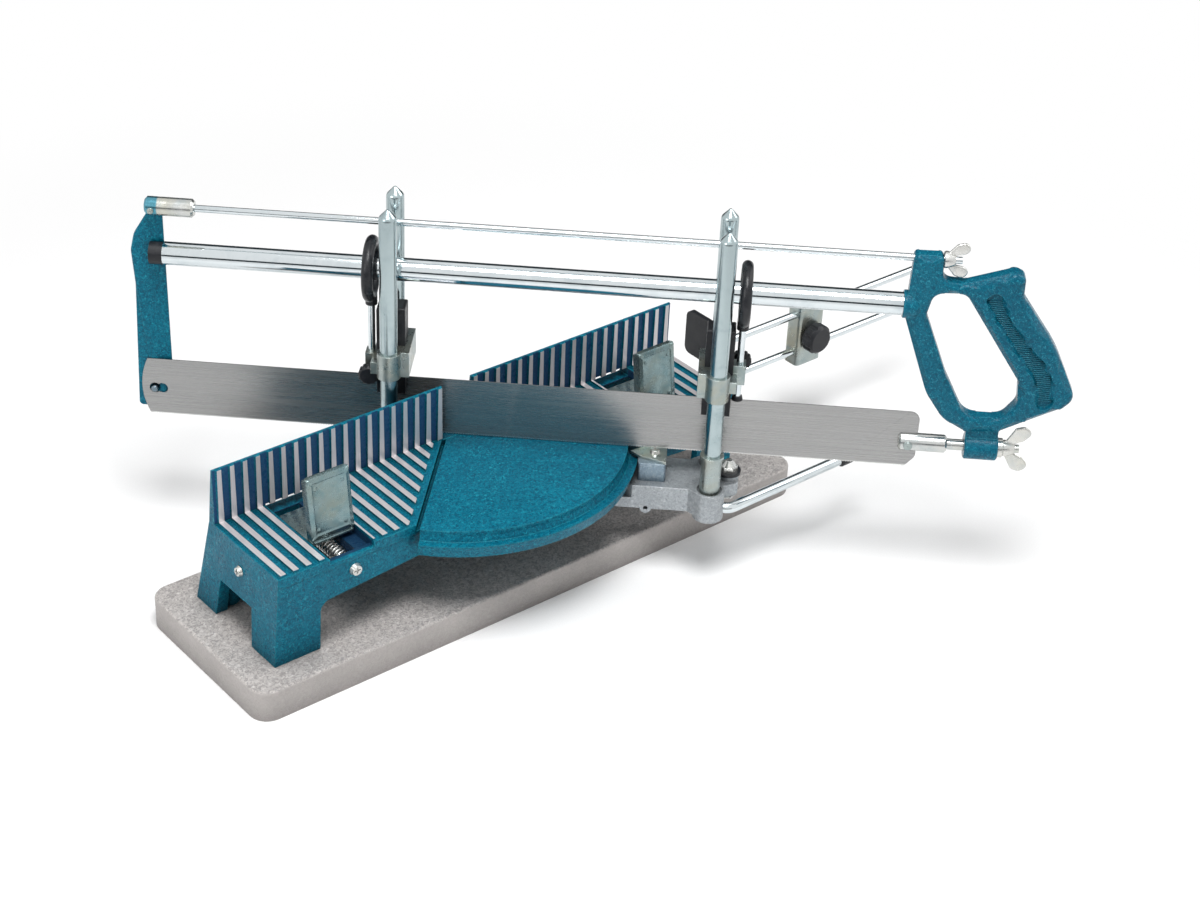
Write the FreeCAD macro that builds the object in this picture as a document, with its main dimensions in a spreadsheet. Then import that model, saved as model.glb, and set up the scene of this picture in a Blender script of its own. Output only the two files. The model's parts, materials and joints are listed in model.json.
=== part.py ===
"""Manual mitre saw: a ribbed casting on a board, a swinging arm with four posts and a framed saw.

The origin is on the underside of the board, below the swing pivot. X runs along the fence, the
user stands at -Y and Z points up. Pieces that swing are drawn in the saw's own frame, where X
runs from the pivot towards the handle, and are then turned to the mitre angle.
"""
import FreeCAD, Part
import Sketcher
import math
import os
import re

# Lengths in millimetres, angles in degrees, each under the name that the geometry uses.
SIZES = {
    # Board, whose margins lie outside the casting.
    "board_left": 28, "board_right": 54, "board_front": 17.5, "board_back": 25,
    "board_height": 24, "board_corner": 14, "board_round": 2,
    # Ribbed casting: table, fence and the four legs.
    "casting_height": 72.5, "table_half": 200, "table_depth": 76.5, "plate_thick": 7.5,
    "fence_rise": 43, "fence_face": 2, "fence_thick": 7, "fence_gap": 12.8,
    "rib_first": 15.5, "rib_pitch": 10, "rib_width": 4.2, "rib_rise": 2, "rib_margin": 1,
    "wall_thick": 6, "end_draft": 3, "front_draft": 4,
    "side_arch_back": 1.8, "side_arch_front": 43.6, "side_arch_rise": 32, "side_arch_lean": 6.6,
    "rear_foot": 27, "rear_window": 80,
    "arch_leg": 33, "arch_shoulder": 38.9, "arch_crown": 111, "arch_rise": 45.3, "arch_round": 8,
    "leg_bolt_inset": 13, "leg_bolt_front": 64, "leg_bolt_back": 12, "leg_boss_radius": 8,
    "leg_boss_height": 26, "leg_bolt_radius": 2.5, "leg_bolt_reach": 18,
    "leg_head_radius": 5, "leg_head_height": 4, "counterbore_radius": 6.5,
    "counterbore_depth": 8,
    # Sector under the blade.
    "sector_angle": 45, "sector_offset": 7, "sector_step": 0.5, "sector_radius": 122.5,
    "sector_cove": 124, "sector_rim": 130, "sector_foot": 127, "sector_ledge": 8,
    "sector_drop": 18, "sector_wall": 6, "groove_width": 3, "groove_depth": 5,
    "land_margin": 4.5, "hub_radius": 24,
    # Swing axle.
    "axle_radius": 6, "axle_rise": 10, "axle_head_radius": 10, "axle_head_height": 6,
    # Clamp slots, jaws, guide screws and springs. The clamps stand in from the table's ends.
    "clamp_inset": 60, "slot_out": 20, "slot_in": 15, "slot_sill": 4, "slot_tail": 14,
    "slot_lintel": 1.5, "rail_width": 9.5, "rail_drop": 6.5, "rail_height": 7,
    "clamp_drop": 16, "jaw_setting": 54.3, "jaw_lean": 5.7, "jaw_thick": 2, "jaw_side_gap": 0.7,
    "jaw_rise": 46.5, "jaw_lift": 1, "jaw_dip": 1, "jaw_flange": 6.5, "jaw_fold": 4.2,
    "jaw_tab_half": 5, "jaw_tab_back": 24, "jaw_tab_drop": 21, "jaw_foot_reach": 41.3, "jaw_foot_drop": 0.5,
    "guide_screw_radius": 2.5, "guide_screw_length": 72, "guide_head_radius": 4.6,
    "guide_head_height": 2.8, "drive_width": 1.1, "drive_reach": 2.6, "drive_depth": 1.2,
    "spring_radius": 4.8, "spring_wire": 0.7, "spring_turns": 12, "spring_seat_gap": 0.3,
    # End screw.
    "end_screw_back": 29.5, "end_screw_drop": 19, "end_screw_radius": 4,
    "end_screw_head": 2.4, "end_screw_shank": 2,
    # Length stop, set out from the table's right end.
    "stop_rod_radius": 3, "stop_rod_back": 26.5, "lower_rod_drop": 21.7, "upper_rod_rise": 11.3,
    "lower_rod_reach": 230, "lower_rod_tail": 20, "upper_rod_length": 224,
    "plate_setting": 30, "stop_plate_thick": 4, "stop_plate_seat": 3, "stop_plate_front": 31,
    "stop_plate_back": 15, "stop_plate_drop": 14.5, "stop_plate_rise": 22.5,
    "stop_plate_corner": 6, "block_setting": 107, "block_length": 26, "block_front": 33,
    "block_back": 18, "block_drop": 32.5, "block_rise": 19.5, "block_round": 3,
    "stop_knob_radius": 12, "stop_knob_length": 12, "stop_knob_drop": 8,
    "stop_knob_bevel": 2.5, "stop_knob_flats": 8, "flute_radius": 3, "flute_out": 13.8, "stop_stud_radius": 3, "stop_stud_length": 9,
    # Swing arm, cranked to pass below the table, with its posts and their collars.
    "mitre_angle": 46.86, "arm_drop": 20, "arm_height": 19, "arm_half": 20, "arm_wall": 5,
    "arm_plate": 6, "arm_hub_radius": 19, "dip_start": 40, "dip_end": 121.8, "dip_depth": 10.5,
    "step_length": 16, "step_near": 5.7, "step_far": 11, "rear_row": 46.5, "front_row": 182.5,
    "post_half": 18, "socket_radius": 11, "socket_depth": 22.5, "socket_floor": 4,
    "mouth_radius": 9, "mouth_depth": 1.5, "gusset_start": 167.5, "gusset_run": 7.2,
    "gusset_reach": 5.8, "web_thick": 7,
    "lug_reach": 203, "lug_tip_half": 7.5, "lug_round": 6.5, "lug_height": 10, "end_bolt_station": 195.3,
    "end_boss_radius": 7.5, "end_boss_height": 4.5, "end_bolt_radius": 3,
    "end_washer_radius": 9, "end_washer_height": 2, "end_nut_radius": 6.5,
    "end_nut_height": 8, "end_nut_brow": 5.5, "end_nut_tip": 2.3, "end_bolt_head": 5,
    "eye_station": 137.8, "eye_drop": 18.6, "eye_radius": 4.2, "eye_hole": 1.6,
    "post_radius": 6.25, "post_top": 184.5, "post_tip": 6, "post_tip_radius": 1.8,
    "collar_radius": 7.4, "collar_height": 29.5, "collar_flange": 8.5, "collar_lip": 2.5,
    # Pointer.
    "pointer_start": 130.5, "pointer_length": 20, "pointer_half": 13, "pointer_rise": 14.5,
    "pointer_tip": 124.5, "pointer_shoulder": 132, "pointer_shoulder_half": 6,
    "pointer_thick": 2, "pointer_screw": 142, "pointer_head_radius": 4,
    "pointer_head_height": 2.4, "pointer_shank": 2,
    # Carriages on the posts, with their guides, knobs and rings.
    "carriage_rise": 54.7, "sleeve_radius": 8.3, "sleeve_length": 19.4, "saddle_reach": 14,
    "guide_reach": 10, "guide_half": 8, "guide_dip": 19.5, "guide_length": 68, "guide_slit": 1.8,
    "guide_round": 2, "ear_offset": 14.5, "ear_half": 5, "rear_ear_start": 1,
    "front_ear_start": 5, "ear_height": 9, "ear_bar": 3, "rear_knob_rise": -3.5,
    "front_knob_rise": 16, "boss_half": 4, "boss_lap": 1, "knob_offset": 15.2,
    "ring_rod_radius": 2.5, "rod_sink": 6, "back_gap": 0.3, "tube_gap": 0.9, "foot_radius": 4.1, "foot_neck": 3.4,
    "foot_height": 3, "foot_seat": 1.5, "ring_drop": 1, "ring_radius": 19.3, "ring_wire": 4,
    "ring_neck_radius": 4.2, "ring_neck_length": 8, "ring_neck_seat": 5,
    "knob_radius": 7.4, "knob_length": 6, "knob_bevel": 1.5, "knob_neck": 3.5, "knob_neck_length": 3.3,
    "knob_grooves": 12, "knob_groove_radius": 1, "knob_stud": 2,
    "knob_stud_length": 2, "knob_relief": 0.5,
    # Saw frame: tube, front plate, tie rod, clevises and blade.
    "blade_gap": 0.3, "blade_width": 45, "blade_length": 552.9, "blade_thick": 1,
    "blade_front": 226.7, "blade_nose": 53, "blade_corner": 7, "bow_height": 130.2,
    "tube_radius": 8.15, "tube_wall": 1.2, "tube_front": 204.6, "tube_back": 314,
    "plug_flange": 9.4, "plug_reach": 8, "tie_rise": 35.8, "tie_radius": 2.5, "tie_back": 340,
    "tie_front": 195, "plate_back": 204.8, "plate_front": 230.4, "plate_toe": 5,
    "plate_waist": 226.7, "plate_waist_drop": 26.2, "plate_cheek": 228.4,
    "plate_brow": 225.4, "plate_brow_rise": 12.9, "plate_top_front": 213.7,
    "plate_top_rise": 32.1, "plate_bend": 20, "plate_corner": 3, "plate_round": 1,
    "saw_plate_thick": 5,
    "top_clevis_front": 215.2, "top_clevis_back": 181.5, "clevis_radius": 6.5,
    "clevis_round": 1.5, "keyhole_station": 217.5, "keyhole_rise": 21.2, "keyhole_radius": 3.9,
    "keyhole_step": 5.2, "hook_radius": 2.5, "hook_reach": 2.5, "hook_bevel": 0.6, "blade_pin_station": 319.5,
    "blade_pin_radius": 2, "blade_pin_rise": 20.5, "lower_clevis_start": 313,
    "lower_clevis_end": 347, "clevis_neck_radius": 4, "clevis_neck_end": 359,
    "clevis_stud_radius": 3, "clevis_stud_end": 398,
    # Handle: outline and opening as stations along the saw and drops below the tie rod.
    "handle_half": 7, "handle_round": 2, "handle_left": 306.3, "handle_cant": 1.7, "handle_top": 3.8, "handle_step": 327.5,
    "saddle_drop": 16.8, "saddle_end": 343.5, "horn_station": 374.5, "horn_drop": 4.6,
    "horn_back": 382.6, "horn_back_drop": 7.3, "horn_foot_drop": 23.3, "grip_mid": 411,
    "grip_mid_drop": 63.3, "grip_end": 430.5, "grip_end_drop": 98.8, "heel_station": 421,
    "heel_drop": 113.8, "sole_back": 396, "sole_back_drop": 120, "sole_station": 384,
    "sole_drop": 130.6, "sole_front": 345.5, "bar_foot": 328.5, "bar_foot_drop": 102.3,
    "bar_top_drop": 43.3, "eye_front": 319.5, "eye_front_drop": 42.8, "eye_brow": 321.5,
    "eye_brow_drop": 23.3, "eye_top": 345.5, "eye_top_drop": 22.6, "eye_back": 391.8,
    "eye_back_drop": 92.3, "eye_heel": 387.8, "eye_heel_drop": 118.5, "eye_toe": 352,
    "eye_waist": 335.5, "eye_waist_drop": 86.3, "bend_fine": 3, "bend_small": 6,
    "bend_mid": 9, "bend_wide": 12, "bend_long": 20, "bend_back": 40, "bend_grip": 60,
    "tube_boss_radius": 9.8, "tube_boss_front": 305.5, "tube_boss_back": 320,
    "boss_back": 382.5, "boss_front": 359, "boss_radius": 9.5,
    # Washer and wing nuts.
    "washer_radius": 7, "washer_thick": 3.5, "wing_hub": 5, "wing_hub_tip": 4, "wing_root": 3.5,
    "wing_start": 9, "wing_flare": 19.5, "wing_tab": 4, "wing_bend": 2.2, "lower_wing_length": 8.6,
    "lower_wing_reach": 17, "top_wing_length": 8, "top_wing_reach": 12, "wing_thick": 2.4,
    # Swing lock lever.
    "lever_radius": 4, "lever_half": 15.5, "lever_drop": 36.5, "lever_start": 189.2,
    "lever_corner": 198.4, "lever_bend": 9, "lever_length": 118, "lever_tip_length": 22,
    "lever_tip_radius": 5.5, "lever_tip_bevel": 2, "lever_seat": 10,
    # Fits: running bores and firm seats.
    "running": 0.05, "seated": 0.02,
}

FLOOR = "board_height"
DECK = "(board_height + casting_height)"
LAND = f"({DECK} + rib_rise)"
SECTOR = f"({DECK} - sector_step)"
ARM = f"({DECK} - arm_drop)"
BLADE = f"({DECK} + blade_gap)"
BACK = f"({BLADE} + blade_width)"
BOW = f"({BLADE} + bow_height)"
TIE = f"({BOW} + tie_rise)"
CARRIAGE = f"({BLADE} + carriage_rise)"
RING = f"({BOW} - ring_drop)"
STUD = f"({BLADE} + blade_pin_rise)"
CLAMP = "(table_half - clamp_inset)"
LEG = "(table_half - leg_bolt_inset)"
FRONT_SLOPE = "(front_draft / casting_height)"
END_SLOPE = "(end_draft / casting_height)"
RIB_STEPS = "floor((table_half - rib_first - rib_width / 2) / rib_pitch)"

ORIGIN = FreeCAD.Vector(0, 0, 0)
AXES = {
    "x": FreeCAD.Rotation(FreeCAD.Vector(0, 1, 0), 90),
    "y": FreeCAD.Rotation(FreeCAD.Vector(1, 0, 0), -90),
    "z": FreeCAD.Rotation(FreeCAD.Vector(0, 0, 1), 0),
}

doc = FreeCAD.newDocument("MitreSaw")
sheet = doc.addObject("Spreadsheet::Sheet", "Sizes")
for row, (alias, number) in enumerate(SIZES.items(), 1):
    sheet.set(f"A{row}", alias)
    sheet.set(f"B{row}", str(number))
    sheet.setAlias(f"B{row}", alias)
doc.recompute()

nodes = []


def size(name):
    """Number that the sheet holds under a name."""
    return float(sheet.get(name))


def linked(text):
    """Expression text with each size name pointed at the sheet."""
    return re.sub(r"[a-z_]+\w*", lambda word: f"Sizes.{word[0]}" if word[0] in SIZES else word[0], text)


def bind(item, **texts):
    """Bind properties, whose dots are written as double underscores, to expressions."""
    for name, text in texts.items():
        item.setExpression(name.replace("__", "."), linked(text))
    return item


def put(item, x, y, z, axis="z"):
    """Stand an item at a point with its own Z along an axis."""
    item.Placement = FreeCAD.Placement(ORIGIN, AXES[axis])
    return bind(item, Placement__Base__x=x, Placement__Base__y=y, Placement__Base__z=z)


def rod(name, radius, length, x, y, z, axis="z"):
    """Round bar that starts at a point and runs along an axis."""
    item = doc.addObject("Part::Cylinder", name)
    bind(item, Radius=radius, Height=length)
    return put(item, x, y, z, axis)


def taper(name, first, second, length, x, y, z, axis="z"):
    """Round bar whose radius changes along its length."""
    item = doc.addObject("Part::Cone", name)
    bind(item, Radius1=first, Radius2=second, Height=length)
    return put(item, x, y, z, axis)


def block(name, x, y, z):
    """Box between pairs of low and high bounds."""
    item = doc.addObject("Part::Box", name)
    bind(item, Length=f"({x[1]}) - ({x[0]})", Width=f"({y[1]}) - ({y[0]})")
    bind(item, Height=f"({z[1]}) - ({z[0]})")
    return put(item, x[0], y[0], z[0])


def sketched(body, name, role, offset, corners):
    """Closed outline on one of the body's planes, with each corner bound to the sheet."""
    sketch = body.newObject("Sketcher::SketchObject", name)
    plane = [item for item in body.Origin.OriginFeatures if item.Role == role][0]
    sketch.AttachmentSupport = [(plane, "")]
    sketch.MapMode = "FlatFace"
    bind(sketch, AttachmentOffset__Base__z=offset)
    count = len(corners)
    ring = [FreeCAD.Vector(math.cos(math.tau * i / count), math.sin(math.tau * i / count), 0)
            for i in range(count)]
    for index, start in enumerate(ring):
        sketch.addGeometry(Part.LineSegment(start, ring[(index + 1) % count]), False)
    for index in range(count):
        sketch.addConstraint(Sketcher.Constraint("Coincident", index, 2, (index + 1) % count, 1))
    for index, corner in enumerate(corners):
        for letter, text in zip("XY", corner):
            pin = Sketcher.Constraint(f"Distance{letter}", -1, 1, index, 1, 1.0)
            place = sketch.addConstraint(pin)
            label = f"{letter.lower()}{index}"
            sketch.renameConstraint(place, label)
            sketch.setExpression(f"Constraints.{label}", linked(text))
    return sketch


def prism(name, role, corners, low, high):
    """Body padded from an outline between two levels square to its plane."""
    body = doc.addObject("PartDesign::Body", name)
    offset = f"-({high})" if role == "XZ_Plane" else low
    sketch = sketched(body, f"{name}_outline", role, offset, corners)
    pad = body.newObject("PartDesign::Pad", f"{name}_pad")
    pad.Profile = sketch
    bind(pad, Length=f"({high}) - ({low})")
    return body


def turned(name, corners, x="0", y="0", z="0", axis="z"):
    """Body turned about its own Z from an outline of radii and heights."""
    body = doc.addObject("PartDesign::Body", name)
    sketch = sketched(body, f"{name}_profile", "XZ_Plane", "0", corners)
    solid = body.newObject("PartDesign::Revolution", f"{name}_turned")
    solid.Profile = sketch
    solid.ReferenceAxis = (sketch, ["V_Axis"])
    solid.Angle = 360
    return put(body, x, y, z, axis)


def rounded(body, radius, chosen):
    """Round the edges of a body that a test picks from the edge and the body's box."""
    doc.recompute()
    tip = body.Tip
    box = tip.Shape.BoundBox
    names = [f"Edge{i}" for i, edge in enumerate(tip.Shape.Edges, 1) if chosen(edge, box)]
    fillet = body.newObject("PartDesign::Fillet", f"{body.Name}_round")
    fillet.Base = (tip, names)
    return bind(fillet, Radius=radius)


def eased(body, radii):
    """Round the outline's corners in turn, each by the radius named for it, or by none."""
    doc.recompute()
    sketch = body.Tip.Profile[0]
    points = [sketch.getPoint(index, 1) for index in range(len(radii))]
    for radius in dict.fromkeys(filter(None, radii)):
        near = [point for point, named in zip(points, radii) if named == radius]
        doc.recompute()
        tip = body.Tip
        names = []
        for index, edge in enumerate(tip.Shape.Edges, 1):
            middle = edge.CenterOfMass
            apart = min(math.hypot(middle.x - point.x, middle.z - point.y) for point in near)
            if runs("y")(edge, None) and apart < 0.01:
                names.append(f"Edge{index}")
        fillet = body.newObject("PartDesign::Fillet", f"{body.Name}_{radius}")
        fillet.Base = (tip, names)
        bind(fillet, Radius=radius)
    return body


def edge_line(edge):
    """Unit direction of a straight edge, or None for a curved one."""
    if edge.Curve.TypeId != "Part::GeomLine":
        return None
    return edge.Curve.Direction


def runs(axis):
    """Test for straight edges along an axis."""
    def chosen(edge, box):
        """True for an edge along the axis."""
        line = edge_line(edge)
        return line is not None and abs(getattr(line, axis)) > 0.999
    return chosen


def at_top(edge, box):
    """True for an edge that lies in the top face."""
    return edge.BoundBox.ZMin > box.ZMax - 1e-4


def at_sides(edge, box):
    """True for an edge that lies in the face at either end of Y."""
    return edge.BoundBox.YMin > box.YMax - 1e-4 or edge.BoundBox.YMax < box.YMin + 1e-4


def fused(name, items):
    """Union of items."""
    result = doc.addObject("Part::MultiFuse", name)
    result.Shapes = items
    result.Refine = True
    return result


def cut(name, base, tools):
    """Base with tools taken away."""
    result = doc.addObject("Part::Cut", name)
    result.Base = base
    result.Tool = tools[0] if len(tools) == 1 else fused(f"{name}_tools", tools)
    result.Refine = True
    return result


def common(name, first, second):
    """Space that two items share."""
    result = doc.addObject("Part::Common", name)
    result.Base = first
    result.Tool = second
    return result


def loose(item):
    """Free an item's placement from its expressions once they have set it."""
    doc.recompute()
    for path, text in item.ExpressionEngine:
        if "Placement" in path:
            item.setExpression(path, None)


def node(label, item, place=None):
    """Keep an item as a named piece, moved by a placement when one is given."""
    item.Label = label
    if place is not None:
        loose(item)
        item.Placement = place.multiply(item.Placement)
    nodes.append(item)
    return item


def swung():
    """Placement of the saw's own frame at the mitre angle."""
    turn = FreeCAD.Rotation(FreeCAD.Vector(0, 0, 1), size("mitre_angle") - 90)
    return FreeCAD.Placement(ORIGIN, turn)


def wedge(name, offset, front, low, high, back="0"):
    """Prism between the two lines that bound the sector, moved out by an offset."""
    near = f"(({offset}) / cos(sector_angle))"
    far = f"({near} + ({front}) * tan(sector_angle))"
    corners = [(f"-{near}", back), (f"-{near}", "0"), (f"-{far}", f"-({front})"),
               (far, f"-({front})"), (near, "0"), (near, back)]
    if back == "0":
        corners = corners[1:-1]
    return prism(name, "XY_Plane", corners, low, high)


def cross_slot(name, x, y, z, axis, depth):
    """Cross-shaped recess that starts at a point and goes back along an axis."""
    bars = []
    for long_way in (0, 1):
        half = ["drive_width / 2", "drive_width / 2", "drive_width / 2"]
        spread = [letter for letter in "xyz" if letter != axis]
        half["xyz".index(spread[long_way])] = "drive_reach"
        half["xyz".index(axis)] = depth
        bounds = [(f"({at}) - ({reach})", f"({at}) + ({reach})") for at, reach in zip((x, y, z), half)]
        bars.append(block(f"{name}_bar{long_way}", *bounds))
    return fused(name, bars)


def build_board():
    """Board with rounded corners and counterbored holes from below."""
    left = "-(table_half + board_left)"
    right = "table_half + board_right"
    front = "-(table_depth + board_front)"
    back = "rear_foot + board_back"
    corners = [(left, front), (right, front), (right, back), (left, back)]
    body = prism("board_blank", "XY_Plane", corners, "0", FLOOR)
    rounded(body, "board_corner", runs("z"))
    rounded(body, "board_round", at_top)
    holes = []
    for name, x, y in bolt_places():
        holes.append(rod(f"board_{name}_hole", "leg_bolt_radius + running", FLOOR, x, y, "0"))
        holes.append(rod(f"board_{name}_bore", "counterbore_radius", "counterbore_depth", x, y, "0"))
    node("board", cut("board_cut", body, holes))


def bolt_places():
    """Name and centre of each leg bolt."""
    rows = {"front": "-leg_bolt_front", "back": "leg_bolt_back"}
    ends = {"left": f"-{LEG}", "right": LEG}
    return [(f"{row}_{end}", x, y) for row, y in rows.items() for end, x in ends.items()]


def build_leg_bolts():
    """Four equal bolts that hold the legs to the board."""
    bolts = []
    for name, x, y in bolt_places():
        head = "counterbore_depth - leg_head_height"
        shank = f"{FLOOR} + leg_bolt_reach - counterbore_depth"
        bolts.append(fused(f"{name}_bolt", [
            rod(f"{name}_head", "leg_head_radius", "leg_head_height", x, y, head),
            rod(f"{name}_shank", "leg_bolt_radius", shank, x, y, "counterbore_depth")]))
    node("leg_bolts", fused("leg_bolts_all", bolts))


def fence_ribs():
    """Row of equal ribs up the fence and over the table, mirrored to the other side."""
    foot = f"{DECK} - 1"
    corners = [("-(table_depth - rib_margin)", LAND), ("-(table_depth - rib_margin)", foot),
               ("fence_face + 1", foot), ("fence_face + 1", f"{DECK} + fence_rise"),
               ("0", f"{DECK} + fence_rise"), ("0", LAND)]
    body = prism("ribs", "YZ_Plane", corners, "rib_first - rib_width / 2", "rib_first + rib_width / 2")
    doc.recompute()
    pad = body.Tip
    row = body.newObject("PartDesign::LinearPattern", "rib_row")
    row.Originals = [pad]
    row.Direction = ([item for item in body.Origin.OriginFeatures if item.Role == "X_Axis"][0], [""])
    bind(row, Length=f"rib_pitch * {RIB_STEPS}", Occurrences=f"{RIB_STEPS} + 1")
    body.Tip = row
    return body


def mirrored(name, item):
    """Copy of an item on the other side of the YZ plane."""
    result = doc.addObject("Part::Mirroring", name)
    result.Source = item
    result.Base = ORIGIN
    result.Normal = FreeCAD.Vector(1, 0, 0)
    return result


def build_casting():
    """Table, fence, legs and sector in one casting."""
    under = f"{DECK} - plate_thick"
    back = "fence_face + fence_thick"
    table = block("table_plate", ("-table_half", "table_half"), ("-table_depth", back), (under, DECK))
    fences = []
    for side, bounds in {"right": ("fence_gap", "table_half"), "left": ("-table_half", "-fence_gap")}.items():
        fences.append(block(f"{side}_fence", bounds, ("fence_face", back),
                            (f"{DECK} - rib_margin", f"{DECK} + fence_rise")))
    ribs = fence_ribs()
    end_wall = common("end_wall", prism("end_profile", "YZ_Plane", [
        ("-table_depth + front_draft", FLOOR), ("-table_depth", DECK), (back, DECK), ("rear_foot", FLOOR),
        ("side_arch_back", FLOOR), ("side_arch_back - side_arch_lean", f"{FLOOR} + side_arch_rise"),
        ("-side_arch_front", f"{FLOOR} + side_arch_rise"), ("-side_arch_front", FLOOR)],
        "table_half - wall_thick", "table_half + end_draft"), prism("end_slab", "XZ_Plane", [
            ("table_half", DECK), ("table_half + end_draft", FLOOR), ("table_half - wall_thick", FLOOR),
            ("table_half - wall_thick", DECK)], "-table_depth", "rear_foot"))
    rear_wall = prism("rear_wall", "YZ_Plane", [
        (back, DECK), ("rear_foot", FLOOR), ("rear_foot - wall_thick", FLOOR),
        (f"{back} - wall_thick", DECK)], "rear_window", "table_half")
    bosses = [rod(f"{name}_boss", "leg_boss_radius", "leg_boss_height", x, y, FLOOR)
              for name, x, y in bolt_places()]
    rail = block("right_rail", (f"{CLAMP} - slot_in - wall_thick", f"{CLAMP} - slot_in + rail_width"),
                 ("-table_depth + wall_thick", "0"),
                 (f"{DECK} - rail_drop - rail_height", f"{DECK} - rail_drop"))
    disc = turned("sector_disc", [
        ("0", SECTOR), ("sector_radius", SECTOR), ("sector_radius", f"{SECTOR} - sector_ledge / 2"),
        ("sector_cove", f"{SECTOR} - sector_ledge"), ("sector_rim", f"{SECTOR} - sector_ledge"),
        ("sector_foot", f"{SECTOR} - sector_drop"), ("sector_foot - sector_wall", f"{SECTOR} - sector_drop"),
        ("sector_radius - sector_wall", f"{SECTOR} - plate_thick"), ("0", f"{SECTOR} - plate_thick")])
    quadrant = wedge("sector_quadrant", "sector_offset", "sector_rim + sector_wall",
                     f"{SECTOR} - sector_drop - 1", f"{DECK} + 1", back)
    sector = common("sector", disc, quadrant)
    hub = rod("pivot_hub", "hub_radius", f"{under} - {ARM} + 1", "0", "0", ARM)
    solid = fused("casting_solid", [table, end_wall, mirrored("left_end_wall", end_wall), rear_wall,
                                    mirrored("left_rear_wall", rear_wall), build_front_wall(), sector, hub,
                                    ribs, mirrored("left_ribs", ribs), rail,
                                    mirrored("left_rail", rail)] + fences + bosses)
    node("table_casting", cut("casting_cut", solid, casting_cuts()))


def build_front_wall():
    """Drafted wall across the front with a wide arch between the legs."""
    crown = "table_half - arch_crown"
    half = [("table_half", DECK), ("table_half + end_draft", FLOOR), ("table_half - arch_leg", FLOOR),
            ("table_half - arch_leg", f"{FLOOR} + arch_shoulder"), (crown, f"{FLOOR} + arch_rise")]
    outline = [(f"-({x})", z) for x, z in half] + half[::-1]
    arch = prism("front_arch", "XZ_Plane", outline, "-table_depth", "-table_depth + front_draft + wall_thick")
    level = size("board_height") + size("arch_shoulder")
    rounded(arch, "arch_round", lambda edge, box: runs("y")(edge, box)
            and abs(edge.CenterOfMass.z - level) < 0.01)
    slab = prism("front_slab", "YZ_Plane", [
        ("-table_depth", DECK), ("-table_depth + front_draft", FLOOR),
        ("-table_depth + front_draft + wall_thick", FLOOR), ("-table_depth + wall_thick", DECK)],
        "-table_half - end_draft", "table_half + end_draft")
    return common("front_wall", arch, slab)


def casting_cuts():
    """Everything that is cut out of the casting."""
    reach = "table_depth + 1"
    high = f"{LAND} + 1"
    cuts = [wedge("land_end", "sector_offset + groove_width + land_margin", reach, DECK, high),
            wedge("sector_top", "sector_offset", reach, SECTOR, high),
            cut("boundary_groove",
                wedge("groove_outer", "sector_offset + groove_width", reach, f"{DECK} - groove_depth", high),
                [wedge("groove_inner", "sector_offset", reach, f"{DECK} - groove_depth - 1", f"{high} + 1")]),
            rod("axle_bore", "axle_radius + seated", "axle_rise", "0", "0", ARM)]
    lane = ("-table_depth + wall_thick", "0")
    slot = block("slot_top", (f"{CLAMP} - slot_in", f"{CLAMP} + slot_out"), lane, (f"{DECK} - rail_drop", high))
    deep = block("slot_deep", (f"{CLAMP} - slot_in + rail_width", f"{CLAMP} + slot_out"), lane,
                 (f"{DECK} - plate_thick - 1", high))
    tail = block("slot_through", (f"{CLAMP} - slot_in", f"{CLAMP} + slot_out"), ("-1", "slot_tail"),
                 (f"{DECK} - rail_drop", f"{DECK} + slot_lintel"))
    sill = block("slot_front", (f"{CLAMP} - slot_in", f"{CLAMP} + slot_out"),
                 ("-table_depth - 1", "-table_depth + wall_thick"), (f"{DECK} - slot_sill", high))
    guide = rod("guide_hole", "guide_screw_radius + seated", "wall_thick + front_draft + 2", CLAMP,
                "-table_depth - 1", f"{DECK} - clamp_drop", "y")
    for item in (slot, deep, tail, sill, guide):
        cuts += [item, mirrored(f"left_{item.Name}", item)]
    cuts.append(rod("end_screw_hole", "end_screw_shank + seated", "wall_thick + end_draft + 2",
                    "-table_half - end_draft - 1", "-end_screw_back", f"{DECK} - end_screw_drop", "x"))
    cuts.append(rod("lower_rod_hole", "stop_rod_radius + seated", "wall_thick + end_draft + 2",
                    "table_half - wall_thick - 1", "-stop_rod_back", f"{DECK} - lower_rod_drop", "x"))
    for name, x, y in bolt_places():
        cuts.append(rod(f"{name}_tap", "leg_bolt_radius + seated", "leg_bolt_reach", x, y, FLOOR))
    return cuts


def build_axle():
    """Bolt on which the arm swings."""
    head = f"{ARM} - arm_height - axle_head_height"
    shank = "arm_height + axle_rise"
    node("swing_axle", fused("axle", [
        hexagon("axle_head", "axle_head_radius", head, "axle_head_height"),
        rod("axle_shank", "axle_radius", shank, "0", "0", f"{ARM} - arm_height")]))


def hexagon(name, radius, low, height, x="0", y="0"):
    """Upright hexagonal prism about a point."""
    corners = [(f"({x}) + ({radius}) * cos({60 * i})", f"({y}) + ({radius}) * sin({60 * i})")
               for i in range(6)]
    return prism(name, "XY_Plane", corners, low, f"({low}) + ({height})")


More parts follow.
